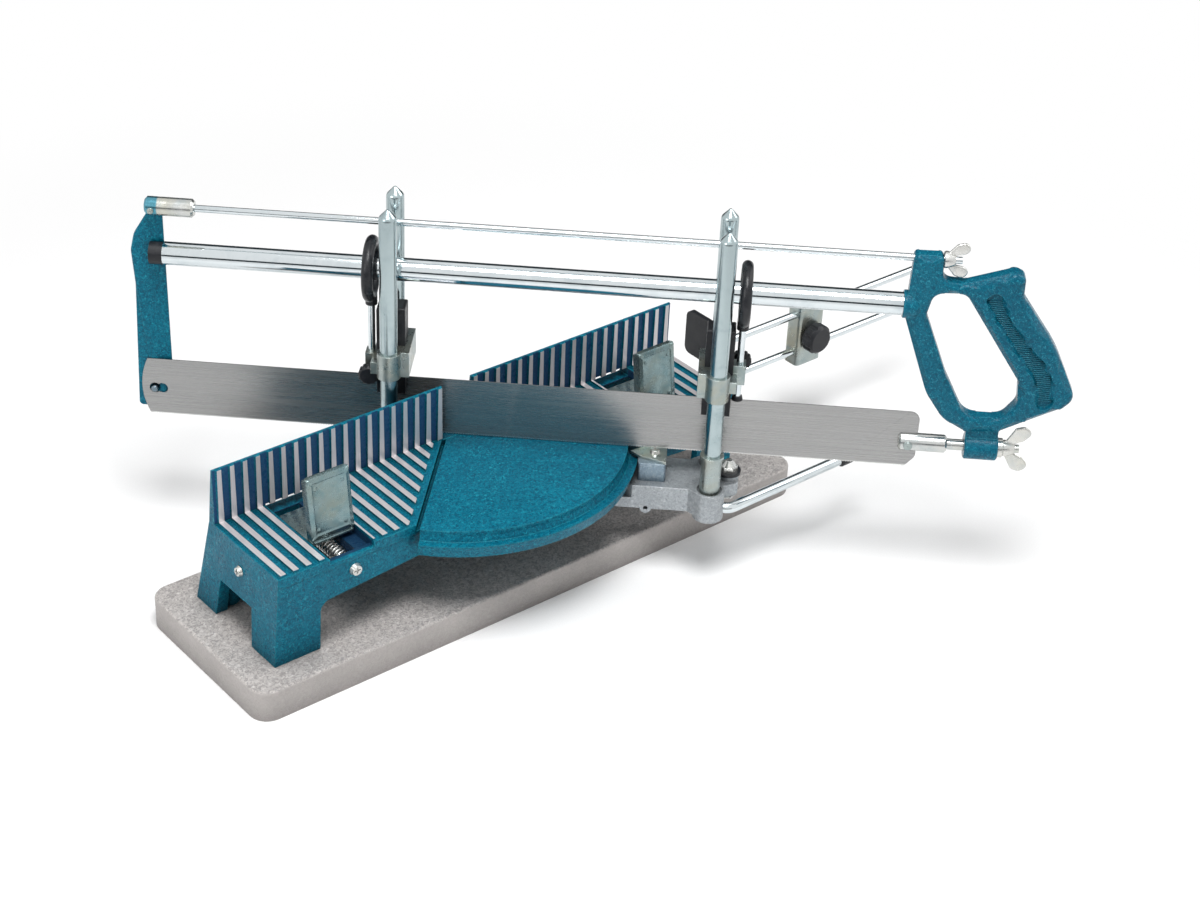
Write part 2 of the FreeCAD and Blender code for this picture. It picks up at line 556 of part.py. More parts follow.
def build_guide_screws():
    """Two equal screws that carry the clamp jaws and their springs."""
    screws = []
    z = f"{DECK} - clamp_drop"
    face = f"-table_depth + {FRONT_SLOPE} * (clamp_drop - guide_head_radius)"
    for side, x in {"left": f"-{CLAMP}", "right": CLAMP}.items():
        head = taper(f"{side}_guide_head", "guide_head_radius - 1", "guide_head_radius",
                     "guide_head_height", x, f"{face} - guide_head_height", z, "y")
        shank = rod(f"{side}_guide_shank", "guide_screw_radius", "guide_screw_length", x, face, z, "y")
        recess = cross_slot(f"{side}_guide_drive", x, f"{face} - guide_head_height", z, "y", "drive_depth")
        screws.append(cut(f"{side}_guide_screw", fused(f"{side}_guide_solid", [head, shank]), [recess]))
    node("clamp_guide_screws", fused("guide_screws", screws))


def build_end_screw():
    """Cross-head screw in the left end of the casting."""
    z = f"{DECK} - end_screw_drop"
    seat = f"-table_half - {END_SLOPE} * (end_screw_drop + end_screw_radius)"
    face = f"{seat} - end_screw_head"
    head = taper("end_screw_cap", "end_screw_radius - 1", "end_screw_radius", "end_screw_head",
                 face, "-end_screw_back", z, "x")
    shank = rod("end_screw_stem", "end_screw_shank", "wall_thick", seat, "-end_screw_back", z, "x")
    recess = cross_slot("end_screw_drive", face, "-end_screw_back", z, "x", "drive_depth")
    node("end_screw", cut("end_screw_cut", fused("end_screw_solid", [head, shank]), [recess]))


def build_clamp(side, sign):
    """Leaning jaw folded from sheet, with its foot and tab, and the spring before it."""
    inner = f"({sign}) * ({CLAMP} - slot_in + jaw_side_gap)"
    outer = f"({sign}) * ({CLAMP} + slot_out - jaw_side_gap)"
    low, high = (inner, outer) if sign == "1" else (outer, inner)
    base = f"{DECK} + jaw_lift"
    top = f"{DECK} + jaw_rise"
    slope = "(jaw_lean / (jaw_rise - jaw_lift))"
    face = "-jaw_setting"
    back = f"{face} + jaw_tab_back"
    crest = f"{face} + jaw_lean"
    sunk = f"{face} - {slope} * (jaw_lift + jaw_dip)"
    plate = prism(f"{side}_jaw_plate", "YZ_Plane", [
        (face, base), (f"{face} + jaw_thick", base), (f"{crest} + jaw_thick", top), (crest, top)], low, high)
    fold = prism(f"{side}_jaw_fold", "YZ_Plane", [
        (f"{crest} - {slope} * jaw_thick", f"{top} - jaw_thick"), (f"{crest} + jaw_fold", f"{top} - jaw_thick"),
        (f"{crest} + jaw_fold", top), (crest, top)], low, high)
    cheek = [(sunk, f"{DECK} - jaw_dip"), (f"{sunk} + jaw_flange", f"{DECK} - jaw_dip"),
             (f"{crest} + jaw_flange", top), (crest, top)]
    flanges = [prism(f"{side}_jaw_flange_low", "YZ_Plane", cheek, low, f"{low} + jaw_thick"),
               prism(f"{side}_jaw_flange_high", "YZ_Plane", cheek, f"{high} - jaw_thick", high)]
    foot_top = f"{DECK} - jaw_foot_drop"
    foot = block(f"{side}_jaw_foot", (low, high), (face, f"{face} + jaw_foot_reach"),
                 (f"{foot_top} - jaw_thick", foot_top))
    middle = f"({sign}) * {CLAMP}"
    tab = block(f"{side}_jaw_tab", (f"{middle} - jaw_tab_half", f"{middle} + jaw_tab_half"),
                (back, f"{back} + jaw_thick"), (f"{DECK} - jaw_tab_drop", foot_top))
    hole = rod(f"{side}_jaw_hole", "guide_screw_radius + running", "jaw_thick + 2", middle,
               f"{back} - 1", f"{DECK} - clamp_drop", "y")
    solid = fused(f"{side}_jaw_solid", [plate, fold, foot, tab] + flanges)
    node(f"{side}_jaw", cut(f"{side}_jaw_cut", solid, [hole]))
    spring = doc.addObject("Part::Feature", f"{side}_spring")
    slope_back = size("front_draft") / size("casting_height") * (size("clamp_drop") + size("spring_radius"))
    start = (-size("table_depth") + size("wall_thick") + slope_back + size("spring_seat_gap")
             + size("spring_wire"))
    end = size("jaw_tab_back") - size("jaw_setting") - size("spring_seat_gap") - size("spring_wire")
    spring.Shape = coil(size("spring_radius"), size("spring_wire"), size("spring_turns"), end - start)
    height = size("board_height") + size("casting_height") - size("clamp_drop")
    across = size("table_half") - size("clamp_inset")
    spring.Placement = FreeCAD.Placement(FreeCAD.Vector(float(sign) * across, start, height), AXES["y"])
    node(f"{side}_spring", spring)


def arc_between(start, heading, end):
    """Arc from a point along a heading to an end point."""
    chord = end.sub(start)
    middle = start.add(chord.multiply(0.5))
    half = middle.sub(start)
    reach = half.Length
    lean = math.acos(max(-1.0, min(1.0, heading.dot(half) / reach)))
    corner = start.add(FreeCAD.Vector(heading).multiply(reach / math.cos(lean)))
    rise = corner.sub(middle).normalize().multiply(reach * math.tan(lean / 2))
    return Part.Arc(start, middle.add(rise), end)


def coil(radius, wire, turns, length):
    """Round wire wound about Z on a chain of tangent arcs."""
    steps = int(4 * turns)
    rise = length / steps

    def on_helix(index):
        """Point and unit heading of the helix at a quarter turn."""
        angle = index * math.pi / 2
        point = FreeCAD.Vector(radius * math.cos(angle), radius * math.sin(angle), rise * index)
        slope = 2 * rise / math.pi
        heading = FreeCAD.Vector(-radius * math.sin(angle), radius * math.cos(angle), slope)
        return point, heading.normalize()

    edges = []
    for index in range(steps):
        start, leave = on_helix(index)
        end, arrive = on_helix(index + 1)
        span = end.sub(start)
        both = leave.add(arrive)
        a = both.dot(both) - 4
        b = -2 * span.dot(both)
        c = span.dot(span)
        reach = (-b - math.sqrt(b * b - 4 * a * c)) / (2 * a)
        first = start.add(FreeCAD.Vector(leave).multiply(reach))
        last = end.sub(FreeCAD.Vector(arrive).multiply(reach))
        join = first.add(last).multiply(0.5)
        edges.append(arc_between(start, leave, join).toShape())
        edges.append(arc_between(join, last.sub(first).normalize(), end).toShape())
    path = Part.Wire(edges)
    start, leave = on_helix(0)
    section = Part.Wire([Part.Circle(start, leave, wire).toShape()])
    solid = path.makePipeShell([section], True, False)
    points = path.discretize(Number=int(24 * turns) + 1)
    apart = [first.distanceToPoint(second) for index, first in enumerate(points)
             for second in points[index + 12:]]
    print("coil least self gap", round(min(apart) - 2 * wire, 2), "volume", round(solid.Volume, 1),
          "expected", round(math.pi * wire ** 2 * path.Length, 1))
    return solid


def build_length_stop():
    """Rods, block, plate and knob that set the length of the cut."""
    low = f"{DECK} - lower_rod_drop"
    high = f"{DECK} + upper_rod_rise"
    face = "table_half + plate_setting"
    seat = f"{face} + stop_plate_thick - stop_plate_seat"
    node("stop_lower_rod", rod("lower_rod", "stop_rod_radius", "lower_rod_reach + lower_rod_tail",
                               "table_half - lower_rod_tail", "-stop_rod_back", low, "x"))
    node("stop_upper_rod", rod("upper_rod", "stop_rod_radius", "upper_rod_length", seat, "-stop_rod_back",
                               high, "x"))
    plate = prism("stop_plate_blank", "YZ_Plane", [
        ("-stop_plate_front", f"{DECK} - stop_plate_drop"), ("stop_plate_back", f"{DECK} - stop_plate_drop"),
        ("stop_plate_back", f"{DECK} + stop_plate_rise"), ("-stop_plate_front", f"{DECK} + stop_plate_rise")],
        face, f"{face} + stop_plate_thick")
    rounded(plate, "stop_plate_corner", runs("x"))
    hole = rod("stop_plate_hole", "stop_rod_radius + seated", "stop_plate_seat", seat, "-stop_rod_back", high, "x")
    node("stop_plate", cut("stop_plate_cut", plate, [hole]))
    start = "table_half + block_setting"
    end = f"{start} + block_length"
    corners = [(start, "-block_front"), (end, "-block_front"), (end, "-block_back"), (start, "-block_back")]
    body = prism("stop_block_blank", "XY_Plane", corners, f"{DECK} - block_drop", f"{DECK} + block_rise")
    rounded(body, "block_round", runs("z"))
    bores = [rod(f"{name}_bore", "stop_rod_radius + running", "block_length + 2", f"{start} - 1",
                 "-stop_rod_back", z, "x") for name, z in {"lower": low, "upper": high}.items()]
    centre = f"{start} + block_length / 2"
    level = f"{DECK} - stop_knob_drop"
    bores.append(rod("stud_bore", "stop_stud_radius + running", "stop_stud_length", centre,
                     "-block_front", level, "y"))
    node("stop_block", cut("stop_block_cut", body, bores))
    knob = turned("stop_knob_blank", [
        ("0", "-stop_knob_length"), ("stop_knob_radius - stop_knob_bevel", "-stop_knob_length"),
        ("stop_knob_radius", "-stop_knob_length + stop_knob_bevel"), ("stop_knob_radius", "-stop_knob_bevel"),
        ("stop_knob_radius - stop_knob_bevel", "0"), ("0", "0")], centre, "-block_front", level, "y")
    flutes = ring_of("stop_knob_flute", "stop_knob_flats", "flute_out", "flute_radius", "stop_knob_length + 2",
                     (centre, "-block_front - stop_knob_length - 1", level))
    stud = rod("stop_stud", "stop_stud_radius", "stop_stud_length", centre, "-block_front", level, "y")
    node("stop_knob", fused("stop_knob_all", [cut("stop_knob_cut", knob, flutes), stud]))


def ring_of(name, count, out, radius, length, start):
    """Equal rods along Y spaced round an axis that starts at a point."""
    items = []
    total = int(size(count))
    for index in range(total):
        turn = 360 * (index + 0.5) / total
        items.append(rod(f"{name}{index}", radius, length, f"({start[0]}) + {out} * cos({turn})", start[1],
                         f"({start[2]}) + {out} * sin({turn})", "y"))
    return items


def post_places():
    """Name and centre of each post in the saw's frame."""
    rows = {"rear": "-rear_row", "front": "front_row"}
    sides = {"near": "-post_half", "far": "post_half"}
    return [(f"{row}_{side}", x, y) for row, x in rows.items() for side, y in sides.items()]


def build_arm():
    """Swing arm, stepped down to pass below the front wall, with sockets, hub and end lug."""
    low = f"{ARM} - arm_height"
    dip = f"{ARM} - dip_depth"
    rise = "dip_end + step_length"
    spans = {"rear": ("-rear_row", "dip_start", ARM), "mid": ("dip_start - arm_wall", rise, dip),
             "front": (rise, "front_row", ARM)}
    parts = []
    for name, (start, end, top) in spans.items():
        parts.append(block(f"{name}_plate", (start, end), ("-arm_half", "arm_half"), (f"{top} - arm_plate", top)))
        parts.append(block(f"{name}_near_wall", (start, end), ("-arm_half", "-arm_half + arm_wall"), (low, top)))
        parts.append(block(f"{name}_far_wall", (start, end), ("arm_half - arm_wall", "arm_half"), (low, top)))
    parts.append(block("rear_step", ("dip_start - arm_wall", "dip_start"), ("-arm_half", "arm_half"),
                       (f"{dip} - arm_plate", ARM)))
    parts.append(prism("front_step", "XY_Plane", [
        ("dip_end", "-arm_half + step_near"), ("dip_end + step_near", "-arm_half"), (rise, "-arm_half"),
        (rise, "arm_half"), ("dip_end + step_far", "arm_half"), ("dip_end", "arm_half - step_far")],
        f"{dip} - arm_plate", ARM))
    parts.append(rod("arm_hub", "arm_hub_radius", "arm_height", "0", "0", low))
    parts.append(rod("eye_lug", "eye_radius", "arm_wall", "eye_station", "-arm_half", f"{ARM} - eye_drop", "y"))
    for name, row in {"rear": "-rear_row", "front": "front_row"}.items():
        parts.append(block(f"{name}_web", (f"{row} - web_thick / 2", f"{row} + web_thick / 2"),
                           ("-post_half", "post_half"), (low, ARM)))
    for name, x, y in post_places():
        parts.append(rod(f"{name}_socket", "socket_radius", "socket_depth", x, y, f"{ARM} - socket_depth"))
    for name, hand in {"near": "-1", "far": "1"}.items():
        wide = "gusset_start + gusset_run"
        corners = [("gusset_start", f"({hand}) * arm_half"), (wide, f"({hand}) * (arm_half + gusset_reach)"),
                   (wide, f"({hand}) * post_half")]
        parts.append(prism(f"{name}_gusset", "XY_Plane", corners, low, ARM))
    lug = prism("end_lug", "XY_Plane", [
        ("front_row", "-post_half"), ("lug_reach", "-lug_tip_half"), ("lug_reach", "lug_tip_half"),
        ("front_row", "post_half")], f"{ARM} - lug_height", ARM)
    rounded(lug, "lug_round", lambda edge, box: runs("z")(edge, box) and edge.CenterOfMass.x > box.XMax - 1)
    parts.append(lug)
    parts.append(rod("end_boss", "end_boss_radius", "end_boss_height + 1", "end_bolt_station", "0", f"{ARM} - 1"))
    bores = [rod("arm_axle_bore", "axle_radius + running", "arm_height + 2", "0", "0", f"{low} - 1"),
             rod("eye_bore", "eye_hole", "arm_wall + 2", "eye_station", "-arm_half - 1", f"{ARM} - eye_drop", "y"),
             rod("end_bore", "end_bolt_radius + seated", "lug_height + end_boss_height + 2",
                 "end_bolt_station", "0", f"{ARM} - lug_height - 1"),
             rod("lever_bore", "lever_radius + running", "socket_radius + 10", "lever_start",
                 "-lever_half", f"{DECK} - lever_drop", "x"),
             rod("pointer_tap", "pointer_shank + seated", "arm_plate", "pointer_screw", "0",
                 f"{ARM} - arm_plate")]
    for name, x, y in post_places():
        bores.append(rod(f"{name}_socket_bore", "post_radius + seated", "socket_depth", x, y,
                         f"{ARM} - socket_depth + socket_floor"))
        bores.append(rod(f"{name}_mouth", "mouth_radius", "mouth_depth + 1", x, y, f"{ARM} - mouth_depth"))
    node("swing_arm", cut("arm_cut", fused("arm_solid", parts), bores), swung())


def build_posts():
    """Four equal posts and the flanged collars at their feet."""
    posts = []
    collars = []
    tip = f"{DECK} + post_top - post_tip"
    for name, x, y in post_places():
        foot = f"{ARM} - socket_depth + socket_floor"
        posts.append(fused(f"{name}_post", [
            rod(f"{name}_shaft", "post_radius", f"{tip} - ({foot})", x, y, foot),
            taper(f"{name}_tip", "post_radius", "post_tip_radius", "post_tip", x, y, tip)]))
        sleeve = fused(f"{name}_sleeve", [
            rod(f"{name}_sleeve_body", "collar_radius", "collar_height + mouth_depth", x, y, f"{ARM} - mouth_depth"),
            rod(f"{name}_sleeve_lip", "collar_flange", "collar_lip", x, y, f"{ARM} + collar_height - collar_lip")])
        bore = rod(f"{name}_collar_bore", "post_radius + seated", "collar_height + mouth_depth + 2", x, y,
                   f"{ARM} - mouth_depth - 1")
        collars.append(cut(f"{name}_collar", sleeve, [bore]))
    node("guide_posts", fused("posts", posts), swung())
    node("post_collars", fused("collars", collars), swung())


def build_end_bolt():
    """Bolt, washer and cap nut at the end of the arm."""
    x = "end_bolt_station"
    seat = f"{ARM} + end_boss_height"
    head = hexagon("end_bolt_head_hex", "end_nut_radius", f"{ARM} - lug_height - end_bolt_head",
                   "end_bolt_head", x)
    shank = rod("end_bolt_shank", "end_bolt_radius", "lug_height + end_boss_height + end_washer_height", x, "0",
                f"{ARM} - lug_height")
    nut = hexagon("end_nut_hex", "end_nut_radius", f"{seat} + end_washer_height", "end_nut_height / 2", x)
    dome = taper("end_nut_dome", "end_nut_brow", "end_nut_tip", "end_nut_height / 2", x, "0",
                 f"{seat} + end_washer_height + end_nut_height / 2")
    node("end_bolt", fused("end_bolt_all", [head, shank, nut, dome]), swung())
    washer = cut("end_washer_cut", rod("end_washer_disc", "end_washer_radius", "end_washer_height", x, "0", seat),
                 [rod("end_washer_hole", "end_bolt_radius + seated", "end_washer_height + 2", x, "0", f"{seat} - 1")])
    node("end_washer", washer, swung())


def build_pointer():
    """Bracket on the arm, pointed plate and its screw."""
    top = f"{ARM} + pointer_rise"
    end = "pointer_start + pointer_length"
    x = "pointer_screw"
    bracket = prism("pointer_block", "XY_Plane", [
        ("pointer_start", "-pointer_half"), (end, "-pointer_half"), (end, "pointer_half"),
        ("pointer_start", "pointer_half")], ARM, top)
    rounded(bracket, "pointer_thick", runs("z"))
    bore = rod("bracket_bore", "pointer_shank + seated", "pointer_rise + 2", x, "0", f"{ARM} - 1")
    node("pointer_bracket", cut("bracket_cut", bracket, [bore]), swung())
    plate = prism("pointer_blank", "XY_Plane", [
        ("pointer_tip", "0"), ("pointer_shoulder", "-pointer_shoulder_half"), (end, "-pointer_half"),
        (end, "pointer_half"), ("pointer_shoulder", "pointer_shoulder_half")], top, f"{top} + pointer_thick")
    hole = rod("pointer_hole", "pointer_shank + seated", "pointer_thick + 2", x, "0", f"{top} - 1")
    node("pointer_plate", cut("pointer_cut", plate, [hole]), swung())
    seat = f"{top} + pointer_thick"
    head = taper("pointer_head", "pointer_head_radius", "pointer_head_radius - 1", "pointer_head_height", x, "0", seat)
    shank = rod("pointer_stem", "pointer_shank", "pointer_rise + pointer_thick + arm_plate", x, "0",
                f"{ARM} - arm_plate")
    recess = cross_slot("pointer_drive", x, "0", f"{seat} + pointer_head_height", "z", "drive_depth")
    node("pointer_screw", cut("pointer_screw_cut", fused("pointer_screw_solid", [head, shank]), [recess]), swung())


def build_station(side, row, turn, boss):
    """Carriage on one pair of posts with its guide, ring, rod, foot and knob.

    The pieces are drawn about the middle of the two posts with X towards the other pair. The
    boss for the knob spans two levels, below the ear at the rear and above it at the front.
    """
    place = swung().multiply(FreeCAD.Placement(FreeCAD.Vector(row, 0, 0),
                                               FreeCAD.Rotation(FreeCAD.Vector(0, 0, 1), turn)))
    name = f"{side}_carriage"
    top = f"{CARRIAGE} + sleeve_length"
    reach = "(knob_neck_length + knob_length)"
    sleeves = [rod(f"{name}_{hand}", "sleeve_radius", "sleeve_length", "0", y, CARRIAGE)
               for hand, y in {"near": "-post_half", "far": "post_half"}.items()]
    saddle = block(f"{name}_saddle", ("0", "saddle_reach"), ("-post_half", "post_half"), (CARRIAGE, top))
    ear_low = f"{CARRIAGE} + {side}_ear_start"
    ear_high = f"{ear_low} + ear_height"
    bar = block(f"{name}_bar", ("-guide_reach - ear_bar", "0"), ("-post_half", "post_half"), (ear_low, ear_high))
    tip = "-knob_offset - knob_neck"
    ear = block(f"{name}_ear", (tip, "-guide_reach"), ("-ear_half", "ear_half"), (ear_low, ear_high))
    level = f"{CARRIAGE} + {side}_knob_rise"
    lump = block(f"{name}_boss", (tip, "-guide_reach"), ("-ear_half", "ear_half"), boss)
    cuts = [rod(f"{name}_{hand}_bore", "post_radius + running", "sleeve_length + 2", "0", y, f"{CARRIAGE} - 1")
            for hand, y in {"near": "-post_half", "far": "post_half"}.items()]
    cuts.append(block(f"{name}_window", ("-guide_reach", "guide_reach"), ("-guide_half", "guide_half"),
                      (f"{CARRIAGE} - 1", f"{top} + 1")))
    cuts.append(rod(f"{name}_rod_bore", "ring_rod_radius + running", "2 * sleeve_length", "-ear_offset", "0",
                    f"{CARRIAGE} - ear_height"))
    cuts.append(rod(f"{name}_stud_bore", "knob_stud + running", "knob_stud_length + 1", "-knob_offset",
                    "-ear_half - 1", level, "y"))
    cuts.append(rod(f"{name}_relief", "knob_radius + knob_relief", f"{reach} + 1", "-knob_offset",
                    f"-ear_half - {reach} - 1", level, "y"))
    solid = fused(f"{name}_solid", sleeves + [saddle, bar, ear, lump])
    node(name, cut(f"{name}_cut", solid, cuts), place)
    build_guide(side, place)
    build_ring(side, place)
    build_knob(side, place, level, reach)


def build_guide(side, place):
    """Upright guide block with a slit that holds the back of the blade."""
    name = f"{side}_guide_block"
    low = f"{CARRIAGE} - guide_dip"
    body = prism(f"{name}_blank", "XY_Plane", [
        ("-guide_reach", "-guide_half"), ("guide_reach", "-guide_half"), ("guide_reach", "guide_half"),
        ("-guide_reach", "guide_half")], low, f"{low} + guide_length")
    rounded(body, "guide_round", at_top)
    slit = block(f"{name}_slit", ("-guide_reach - 1", "guide_reach + 1"), ("-guide_slit / 2", "guide_slit / 2"),
                 (f"{low} - 1", f"{BACK} + back_gap"))
    hollow = rod(f"{name}_hollow", "tube_radius + tube_gap", "2 * guide_reach + 2", "-guide_reach - 1", "0",
                 BOW, "x")
    node(name, cut(f"{name}_cut", body, [slit, hollow]), place)


def build_ring(side, place):
    """Rod through the carriage's ear with a ring round the tube, and at the front a foot on the rod."""
    neck = f"{RING} - ring_radius"
    x = "-ear_offset"
    start = f"{CARRIAGE} - rod_sink"
    if side == "front":
        foot = f"{BACK} + back_gap"
        start = f"{foot} + foot_height - foot_seat"
        cone = taper("foot_cone", "foot_radius", "foot_neck", "foot_height", x, "0", foot)
        seat = rod("foot_bore", "ring_rod_radius + seated", "foot_seat + 1", x, "0", start)
        node("front_ring_foot", cut("foot_cut", cone, [seat]), place)
    end = f"{neck} - ring_neck_length + ring_neck_seat"
    node(f"{side}_ring_rod", rod(f"{side}_ring_stem", "ring_rod_radius", f"{end} - ({start})", x, "0", start), place)
    torus = doc.addObject("Part::Torus", f"{side}_torus")
    bind(torus, Radius1="ring_radius", Radius2="ring_wire")
    put(torus, x, "0", RING, "x")
    stem = rod(f"{side}_ring_neck", "ring_neck_radius", "ring_neck_length", x, "0", f"{neck} - ring_neck_length")
    bore = rod(f"{side}_ring_bore", "ring_rod_radius + seated", "ring_neck_seat + 1", x, "0",
               f"{neck} - ring_neck_length - 1")
    node(f"{side}_ring", cut(f"{side}_ring_cut", fused(f"{side}_ring_solid", [torus, stem]), [bore]), place)


def build_knob(side, place, level, reach):
    """Grooved knob whose stud bears on the ring's rod."""
    name = f"{side}_knob"
    body = turned(f"{name}_blank", [
        ("0", f"-{reach}"), ("knob_radius - knob_bevel", f"-{reach}"), ("knob_radius", f"-{reach} + knob_bevel"),
        ("knob_radius", "-knob_neck_length"), ("knob_neck", "-knob_neck_length"), ("knob_neck", "0"),
        ("knob_stud", "0"), ("knob_stud", "knob_stud_length"), ("0", "knob_stud_length")],
        "-knob_offset", "-ear_half", level, "y")
    grooves = ring_of(f"{name}_groove", "knob_grooves", "knob_radius", "knob_groove_radius", "knob_length + 1",
                      ("-knob_offset", f"-ear_half - {reach} - 1", level))
    node(name, cut(f"{name}_cut", body, grooves), place)


def build_tube():
    """Chromed tube along the top of the saw and its end plug."""
    length = "tube_front + tube_back"
    outer = rod("tube_outer", "tube_radius", length, "-tube_front", "0", BOW, "x")
    bore = rod("tube_bore", "tube_radius - tube_wall", f"{length} + 2", "-tube_front - 1", "0", BOW, "x")
    node("frame_tube", cut("tube_cut", outer, [bore]), swung())
    cap = rod("plug_cap", "tube_radius", "plug_flange", "-tube_front - plug_flange", "0", BOW, "x")
    stem = rod("plug_stem", "tube_radius - tube_wall - seated", "plug_reach", "-tube_front", "0", BOW, "x")
    slot = block("plug_notch", ("-tube_front - plug_flange - 1", "-tube_front"), plate_lane(),
                 (f"{BOW} - tube_radius - 1", f"{BOW} + tube_radius + 1"))
    node("tube_plug", cut("plug_cut", fused("plug_solid", [cap, stem]), [slot]), swung())


def plate_lane():
    """Bounds of a slot along Y that holds the front plate."""
    return ("blade_thick / 2 - running", "blade_thick / 2 + saw_plate_thick + running")


def build_saw_plate():
    """Painted plate that joins tube, tie rod and blade at the front of the saw."""
    corners = [("-plate_front", f"{BLADE} + plate_toe"), ("-plate_waist", f"{BOW} - plate_waist_drop"),
               ("-plate_cheek", BOW), ("-plate_brow", f"{BOW} + plate_brow_rise"),
               ("-plate_top_front", f"{BOW} + plate_top_rise"), ("-plate_back", f"{BOW} + plate_top_rise"),
               ("-plate_back", f"{BLADE} + plate_toe")]
    body = prism("saw_plate_blank", "XZ_Plane", corners, "blade_thick / 2", "blade_thick / 2 + saw_plate_thick")
    eased(body, ["plate_corner", "plate_bend", "plate_bend", "plate_bend", "plate_corner", None, "plate_corner"])
    rounded(body, "plate_round", at_sides)
    hole = rod("saw_plate_hole", "hook_radius + seated", "saw_plate_thick + 2", "-keyhole_station",
               "blade_thick / 2 - 1", f"{BLADE} + keyhole_rise", "y")
    node("saw_plate", cut("saw_plate_cut", body, [hole]), swung())


def build_blade():
    """Blade with a bowed front end and a keyhole, and the hook and pin that hold it."""
    end = "blade_length - blade_front"
    sides = ("-blade_thick / 2", "blade_thick / 2")
    body = prism("blade_blank", "XZ_Plane", [
        ("-blade_front + blade_nose", BLADE), (end, BLADE), (end, BACK), ("-blade_front + blade_nose", BACK)],
        *sides)
    rounded(body, "blade_corner", lambda edge, box: runs("y")(edge, box) and edge.CenterOfMass.x > box.XMax - 1)
    disc = rod("nose_disc", "blade_nose", "blade_thick", "-blade_front + blade_nose", sides[0],
               f"{BLADE} + blade_width / 2", "y")
    strip = block("nose_strip", ("-blade_front", "-blade_front + blade_nose"), sides, (BLADE, BACK))
    blank = fused("blade_solid", [common("blade_bow", disc, strip), body])
    level = f"{BLADE} + keyhole_rise"
    holes = [rod("keyhole_front", "keyhole_radius", "blade_thick + 2", "-keyhole_station",
                 "-blade_thick / 2 - 1", level, "y"),
             rod("keyhole_rear", "keyhole_radius", "blade_thick + 2", "-keyhole_station + keyhole_step",
                 "-blade_thick / 2 - 1", level, "y"),
             rod("blade_pin_hole", "blade_pin_radius + seated", "blade_thick + 2", "blade_pin_station",
                 "-blade_thick / 2 - 1", STUD, "y")]
    node("blade", cut("blade_cut", blank, holes), swung())
    reach = "hook_reach + blade_thick + saw_plate_thick"
    node("blade_hook", turned("hook_pin", [
        ("0", "0"), ("hook_radius - hook_bevel", "0"), ("hook_radius", "hook_bevel"), ("hook_radius", reach),
        ("0", reach)], "-keyhole_station", "-blade_thick / 2 - hook_reach", level, "y"), swung())
    node("blade_pin", rod("blade_cross_pin", "blade_pin_radius", "2 * clevis_radius", "blade_pin_station",
                          "-clevis_radius", STUD, "y"), swung())


def build_ties():
    """Tie rod with its front clevis, and the lower clevis with its stud."""
    node("tie_rod", rod("tie", "tie_radius", "tie_back + tie_front", "-tie_front", "0", TIE, "x"), swung())
    long = "top_clevis_front - top_clevis_back"
    top = turned("top_clevis_blank", [
        ("0", "0"), ("clevis_radius - clevis_round", "0"), ("clevis_radius", "clevis_round"),
        ("clevis_radius", f"{long} - clevis_round"), ("clevis_radius - clevis_round", long), ("0", long)],
        "-top_clevis_front", "0", TIE, "x")
    slot = block("top_clevis_slot", ("-top_clevis_front - 1", "-plate_back + 1"), plate_lane(),
                 (f"{TIE} - clevis_radius - 1", f"{BOW} + plate_top_rise + running"))
    bore = rod("top_clevis_bore", "tie_radius + seated", "top_clevis_front", "-tie_front", "0", TIE, "x")
    node("top_clevis", cut("top_clevis_cut", top, [slot, bore]), swung())
    long = "lower_clevis_end - lower_clevis_start"
    neck = "clevis_neck_end - lower_clevis_start"
    tail = "clevis_stud_end - lower_clevis_start"
    low = turned("lower_clevis_blank", [
        ("0", "0"), ("clevis_radius - clevis_round", "0"), ("clevis_radius", "clevis_round"),
        ("clevis_radius", f"{long} - clevis_round"), ("clevis_radius - clevis_round", long),
        ("clevis_neck_radius", long), ("clevis_neck_radius", neck), ("clevis_stud_radius", neck),
        ("clevis_stud_radius", tail), ("0", tail)], "lower_clevis_start", "0", STUD, "x")
    gap = block("lower_clevis_slot", ("lower_clevis_start - 1", "blade_length - blade_front + seated"),
                ("-blade_thick / 2 - seated", "blade_thick / 2 + seated"),
                (f"{STUD} - clevis_radius - 1", f"{STUD} + clevis_radius + 1"))
    cross = rod("lower_clevis_cross", "blade_pin_radius + seated", "2 * clevis_radius + 2", "blade_pin_station",
                "-clevis_radius - 1", STUD, "y")
    node("lower_clevis", cut("lower_clevis_cut", low, [gap, cross]), swung())


